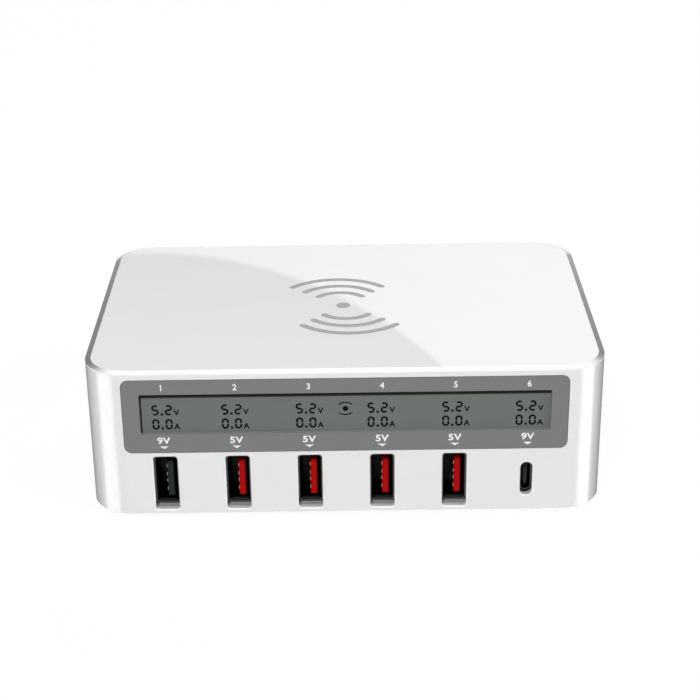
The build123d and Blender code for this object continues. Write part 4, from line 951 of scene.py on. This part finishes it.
@dataclass
class Readouts(Marks):
    """The display: a voltage over a current for each socket, and the charging pad's sign."""

    digit_width: float = 1.95  # width of a figure
    digit_height: float = 3.1  # its height
    bar: float = 0.56  # thickness of a segment
    bar_tip: float = 0.46  # how far its points reach in, as a share of that
    bar_gap: float = 0.03  # gap between two segments that meet
    digit_pitch: float = 3.54  # from the first figure to the second
    point_size: float = 0.66  # side of the decimal point
    point_round: float = 0.2  # radius of its corners, as a share of that
    point_steps: int = 3  # steps of such a corner
    unit_place: float = 6.62  # from the first figure's left side to the unit's middle
    unit_reach: float = 0.7  # how far the unit reaches past its middle
    unit_height: float = 1.7
    unit_weight: float = 0.03  # how much its strokes are thickened
    row_heights: tuple[float, float] = (30.8, 26.6)  # foot of each row above the table
    shifts: tuple[float, ...] = (0.7, -0.25, 0.15, -0.25, 0.2, 0.35)  # to the right of the sockets
    sign_height: float = 32.2  # height of the sign's middle above the table
    sign_dot: float = 0.75  # radius of its dot
    sign_sides: int = 40  # how many sides the dot's rim has
    sign_radius: float = 3.06  # radius of its arcs
    sign_apex: float = 1.8  # how far an arc's middle is from the dot's
    sign_spread: float = radians(35)  # angle from an arc's middle to either end
    sign_line: float = 0.34  # width of its lines

    def bar_piece(self, name: str, length: float) -> Piece:
        """A segment along X with pointed ends."""
        return Bench.bevel(Bench.block(name, length, self.bar), upright, self.bar_tip * self.bar)

    def figure(self, name: str, digit: Digit, left: float, foot: float) -> Piece:
        """Put a figure together from copies of one lying and one standing segment.

        Args:
            name: the figure's name.
            digit: which segments are lit.
            left: X of its left side.
            foot: Y of its foot.

        Returns:
            The figure as one mesh object.
        """
        wide = self.digit_width - self.bar
        half = (self.digit_height - self.bar) / 2
        lying = self.bar_piece("lying_bar", wide - 2 * self.bar_gap)
        standing = self.bar_piece("standing_bar", half - 2 * self.bar_gap)
        standing.rotation_euler.z = pi / 2
        Bench.settle(standing)
        x, y = left + self.bar / 2, foot + self.bar / 2
        bars = []
        for segment in digit.value:
            across, up = SEGMENTS[segment]
            pattern = lying if segment in LYING else standing
            spot = (x + across * wide, y + up * half, 0.0)
            bars.append(Bench.copy(pattern, f"{name}_{segment}", spot))
        Bench.discard(lying, standing)
        return Bench.join(name, bars)

    def row(self, name: str, digits: tuple[Digit, Digit], unit: str, foot: float) -> list[Piece]:
        """One row of a readout, its left side at the origin.

        Args:
            name: start of the pieces' names.
            digits: the figures before and after the point.
            unit: the letter of the unit.
            foot: Y of the row's foot.

        Returns:
            The row's pieces.
        """
        first, second = digits
        size = self.point_size
        middle = self.digit_width + (self.digit_pitch - self.digit_width) / 2
        point = Bench.block(f"{name}_point", size, size, middle, foot + size / 2)
        Bench.bevel(point, upright, self.point_round * size, self.point_steps)
        letter = Bench.letters(f"{name}_unit", unit, self.unit_height, self.unit_weight)
        letter.location = (self.unit_place, foot, 0.0)
        return [
            self.figure(f"{name}_first", first, 0.0, foot),
            self.figure(f"{name}_second", second, self.digit_pitch, foot),
            point,
            Bench.settle(letter),
        ]

    def build(self) -> None:
        """Model one readout, copy it to each socket, and add the pad's sign."""
        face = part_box("lcd_glass")[0].y
        ink = Ink("display_segments", (0.004, 0.005, 0.004), 0.4, 0.2, 3 * MM, 0.1 * MM, specular=0.03)
        volts, amps = self.row_heights
        pieces = self.row("volts", (Digit.FIVE, Digit.TWO), "V", volts)
        pieces += self.row("amps", (Digit.ZERO, Digit.ZERO), "A", amps)
        pattern = Bench.join("readout", pieces)
        middle = (self.unit_place + self.unit_reach) / 2
        for number, (x, shift) in enumerate(zip(socket_places(), self.shifts), start=1):
            twin = Bench.copy(pattern, f"lcd_readout_{number}")
            Bench.mount(twin, Vector((x + (shift - middle) * MM, face, 0.0)), STANDING)
            self.fit(twin, "lcd_cell", ink)
        Bench.discard(pattern)
        self.fit(self.sign(face), "lcd_cell", ink)

    def sign(self, face: float) -> Piece:
        """The charging pad's sign: a dot between two arcs.

        Args:
            face: Y of the display's face.

        Returns:
            The sign as one mesh object.
        """
        dot = self.spot("sign_dot", self.sign_dot, self.sign_sides)
        above, below = self.arcs(("sign_above", "sign_below"), self.sign_radius, self.sign_spread,
                                 self.sign_line, self.sign_apex)
        sign = Bench.join("lcd_pad_sign", [above, below, dot])
        return Bench.mount(sign, Vector((0.0, face, self.sign_height * MM)), STANDING)


@dataclass
class TrimPrint(Marks):
    """White print on the trim: a voltage and a pointer at each socket, and the socket's number."""

    volts: tuple[str, ...] = ("9V", "5V", "5V", "5V", "5V", "9V")  # printed, from left to right
    text_foot: float = 22.8  # height of the voltage's foot above the table
    text_height: float = 2.0  # height of its letters
    text_widen: float = 1.14  # how much they are drawn out sideways
    text_weight: float = 0.03  # how much their strokes are thickened
    pointer_top: float = 22.1  # height of the pointer's upper edge
    pointer_size: tuple[float, float] = (2.4, 0.8)  # width and height of the pointer
    pointer_round: float = 0.05  # radius of its corners, as a share of its height
    pointer_steps: int = 2  # steps of such a corner
    number_foot: float = 38.6  # height of the number's foot
    number_height: float = 1.8
    number_weight: float = 0.02  # how much its strokes are thickened

    def pointer(self) -> Piece:
        """A small triangle that points down, its upper edge on the X axis.

        Returns:
            The mesh object.
        """
        width, height = self.pointer_size
        radius = width / sqrt(TRIANGLE)
        squash = height / (radius + radius / 2)
        piece = Bench.disc("pointer", radius, TRIANGLE)
        piece.rotation_euler.z = pi
        Bench.settle(piece)
        piece.scale.y = squash
        piece.location.y = -squash * radius / 2
        Bench.settle(piece)
        return Bench.bevel(piece, upright, self.pointer_round * height, self.pointer_steps)

    def build(self) -> None:
        """Print the voltages, the pointers and the numbers."""
        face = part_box("display_trim")[0].y
        ink = Ink("white_print", (0.9, 0.9, 0.9), 0.45, 0.03, 2 * MM, 0.15 * MM)
        pointer = self.pointer()
        for number, (x, volts) in enumerate(zip(socket_places(), self.volts), start=1):
            label = Bench.letters(f"volts_{number}", volts, self.text_height, self.text_weight,
                                  self.text_widen)
            below = (0.0, self.pointer_top - self.text_foot, 0.0)
            arrow = Bench.copy(pointer, f"pointer_{number}", below)
            mark = Bench.join(f"port_label_{number}", [arrow, label])
            Bench.mount(mark, Vector((x, face, self.text_foot * MM)), STANDING)
            self.fit(mark, "trim_grey", ink)
            count = Bench.letters(f"port_number_{number}", str(number), self.number_height,
                                  self.number_weight)
            Bench.mount(count, Vector((x, face, self.number_foot * MM)), STANDING)
            self.fit(count, "trim_grey", ink)
        Bench.discard(pointer)


@dataclass
class PadPrint(Marks):
    """Grey print on the lid that shows where a phone goes: arcs above and below a dot."""

    middle: tuple[float, float] = (-0.31, -2.7)  # X and Y of the print's middle
    apexes: tuple[float, ...] = (19.6, 14.5, 9.5)  # how far each arc's middle is from there
    radii: tuple[float, ...] = (17.85, 13.05, 8.2)  # each arc's radius
    half_chords: tuple[float, ...] = (13.3, 9.9, 6.45)  # half of each arc's width
    line: float = 2.0  # width of the lines
    dot: float = 2.0  # radius of the dot
    dot_sides: int = 64  # how many sides its rim has
    lean: float = 0.09  # shift of an arc to the left for each millimetre behind the middle

    def build(self) -> None:
        """Draw the arcs of one side, turn copies round to the other, and add the dot."""
        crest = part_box("top_cover")[1].z
        ink = Ink("grey_print", (0.345, 0.345, 0.345), 0.4, 0.03, 3 * MM, 0.2 * MM)
        across, along = self.middle
        place = Vector((across * MM, along * MM, crest))
        sizes = zip(self.apexes, self.radii, self.half_chords)
        for number, (apex, radius, half) in enumerate(sizes, start=1):
            names = (f"pad_arc_back_{number}", f"pad_arc_front_{number}")
            back, front = self.arcs(names, radius, asin(half / radius), self.line, apex)
            shift = Vector((self.lean * apex * MM, 0.0, 0.0))
            self.fit(Bench.mount(back, place - shift), "case_white", ink)
            self.fit(Bench.mount(front, place + shift), "case_white", ink)
        dot = self.spot("pad_dot", self.dot, self.dot_sides)
        self.fit(Bench.mount(dot, place), "case_white", ink)


# Studio

@dataclass(frozen=True)
class Card:
    """A round patch of the studio that polished faces mirror."""

    azimuth: float  # degrees to the right of straight behind the object
    elevation: float  # degrees above the horizon
    radius: float  # its size in degrees
    soft: float  # how soft its edge is, in degrees
    level: float  # its brightness

    def towards(self) -> Vector:
        """The direction of its middle."""
        turn, rise = radians(self.azimuth), radians(self.elevation)
        return Vector((sin(turn) * cos(rise), cos(turn) * cos(rise), sin(rise)))


@dataclass(frozen=True)
class Lamp:
    """A square soft lamp."""

    name: str
    towards: Triple  # direction from the object to the lamp
    distance: float  # how far away it is
    size: float  # length of its side
    power: float  # its power in watts

    def hang(self) -> None:
        """Hang the lamp, facing the object and out of its mirror images."""
        way = Vector(self.towards).normalized()
        Bench.clear()
        bpy.ops.object.light_add(type="AREA", location=way * self.distance)
        lamp = bpy.context.object
        lamp.name = self.name
        lamp.data.size = self.size
        lamp.data.energy = self.power
        lamp.rotation_euler = way.to_track_quat("Z", "Y").to_euler()
        lamp.visible_glossy = False


@dataclass
class Studio:
    """Floor, lamps, surroundings and camera."""

    ambient: float = 0.18  # level of the light from all round
    floor_white: Colour = (0.95, 0.95, 0.95)  # colour of the floor where it is seen
    floor_bounce: Colour = (0.45, 0.45, 0.45)  # its colour as a source of light from below
    floor_glow: float = 0.95  # how much of the floor's white is seen regardless of shadow
    floor_size: float = 12.0  # length of the floor's sides
    floor_drop: float = 0.05 * MM  # how far the floor is below the feet
    lamps: tuple[Lamp, ...] = (
        Lamp("key", (-0.32, -1.0, 1.08), 2.6, 0.4, 51.5),
        Lamp("fill", (1.0, -0.5, 0.8), 2.6, 1.3, 22.5),
        Lamp("back", (0.25, 1.0, 0.42), 2.6, 1.3, 34.0),
    )
    camera_place: Triple = (0.676, -448.957, 234.223)  # in millimetres
    camera_turn: Triple = (0.0018, 0.4295, -0.0121)  # yaw, pitch and roll in radians
    focal_pixels: float = 1690.1  # focal length in pixels of the photograph
    cards: tuple[Card, ...] = (  # what polished faces mirror; a later card covers an earlier one
        Card(0, 84, 42, 3, 2.2),
        Card(20, 20, 16, 12, 1.5),
        Card(-8.0, 35.25, 14.17, 0.1, 0.0),
        Card(34, 17, 18, 2, 0.3),
        Card(-34, 17, 18, 2, 0.3),
        Card(0, -60, 58, 5, 0.0),
        Card(0, -3, 12, 4, 1.3),
        Card(106, -25, 17, 7, 8.0),
        Card(-114, -25, 19, 7, 7.6),
    )

    def floor(self) -> None:
        """A wide pale floor that keeps the object's shadow and looks white."""
        Bench.clear()
        bpy.ops.mesh.primitive_plane_add(size=self.floor_size, location=(0.0, 0.0, -self.floor_drop))
        floor = Bench.call(bpy.context.object, "studio_floor")
        floor.visible_glossy = False
        material = bpy.data.materials.new("studio_paper")
        material.use_nodes = True
        graph = Graph(material.node_tree)
        looked_at = seen(graph)
        colour = graph.mix(looked_at, self.floor_bounce, self.floor_white)
        paper = graph.out("ShaderNodeBsdfDiffuse", 0, {}, {"Color": colour})
        white = graph.out("ShaderNodeEmission", 0)
        glow = looked_at * self.floor_glow
        shown = graph.out("ShaderNodeMixShader", 0, {}, {0: glow, 1: paper, 2: white})
        graph.node("ShaderNodeOutputMaterial", {}, {"Surface": shown})
        floor.data.materials.append(material)

    def surroundings(self) -> None:
        """Even light for the surfaces, a white room to look at, and cards for what mirrors it."""
        world = bpy.data.worlds.new("studio")
        bpy.context.scene.world = world
        world.use_nodes = True
        graph = Graph(world.node_tree)
        way = graph.out("ShaderNodeTexCoord", "Generated")
        level: Term = 1.0
        for card in self.cards:
            both = {0: way, 1: card.towards()}
            facing = graph.out("ShaderNodeVectorMath", "Value", {"operation": "DOT_PRODUCT"}, both)
            outer, inner = card.radius + card.soft, card.radius - card.soft
            patch = facing.fade(cos(radians(outer)), cos(radians(inner)))
            level = level + patch * (card.level - level)
        mirrored = graph.out("ShaderNodeLightPath", "Is Glossy Ray")
        room = 1 + mirrored * (level - 1)
        strength = self.ambient + seen(graph) * (room - self.ambient)
        light = graph.out("ShaderNodeBackground", 0, {}, {"Strength": strength})
        graph.node("ShaderNodeOutputWorld", {}, {"Surface": light})

    def camera(self) -> None:
        """A camera where the photograph's stood."""
        yaw, pitch, roll = self.camera_turn
        level = Matrix.Rotation(-yaw, 4, "Z") @ Matrix.Rotation(pi / 2, 4, "X")
        turn = level @ Matrix.Rotation(-pitch, 4, "X") @ Matrix.Rotation(roll, 4, "Z")
        Bench.clear()
        bpy.ops.object.camera_add()
        camera = bpy.context.object
        camera.data.sensor_width = SENSOR_WIDTH
        camera.data.lens = self.focal_pixels * SENSOR_WIDTH / IMAGE_PIXELS
        camera.data.clip_start = CLIP_START
        camera.data.clip_end = CLIP_END
        camera.matrix_world = Matrix.Translation(Vector(self.camera_place) * MM) @ turn
        bpy.context.scene.camera = camera

    def build(self) -> None:
        """Set the studio up."""
        bpy.context.scene.view_settings.view_transform = "Standard"
        self.floor()
        self.surroundings()
        for lamp in self.lamps:
            lamp.hang()
        self.camera()
        log.info("studio is set up")


def seen(graph: Graph) -> Sock:
    """One for what the camera sees straight, in a mirror or through glass.

    Args:
        graph: the graph.

    Returns:
        The sum of the three kinds of ray.
    """
    path = graph.node("ShaderNodeLightPath")
    rays = [Sock(graph, path.outputs[f"Is {kind} Ray"]) for kind in ("Camera", "Glossy", "Transmission")]
    return rays[0] + rays[1] + rays[2]


def main() -> None:
    """Dress the charger and set up its studio."""
    logging.basicConfig(level=logging.INFO, format="%(name)s: %(message)s")
    wardrobe = Wardrobe()
    wardrobe.dress_nodes()
    Readouts(wardrobe).build()
    TrimPrint(wardrobe).build()
    PadPrint(wardrobe).build()
    Studio().build()


if __name__ == "__main__":
    main()
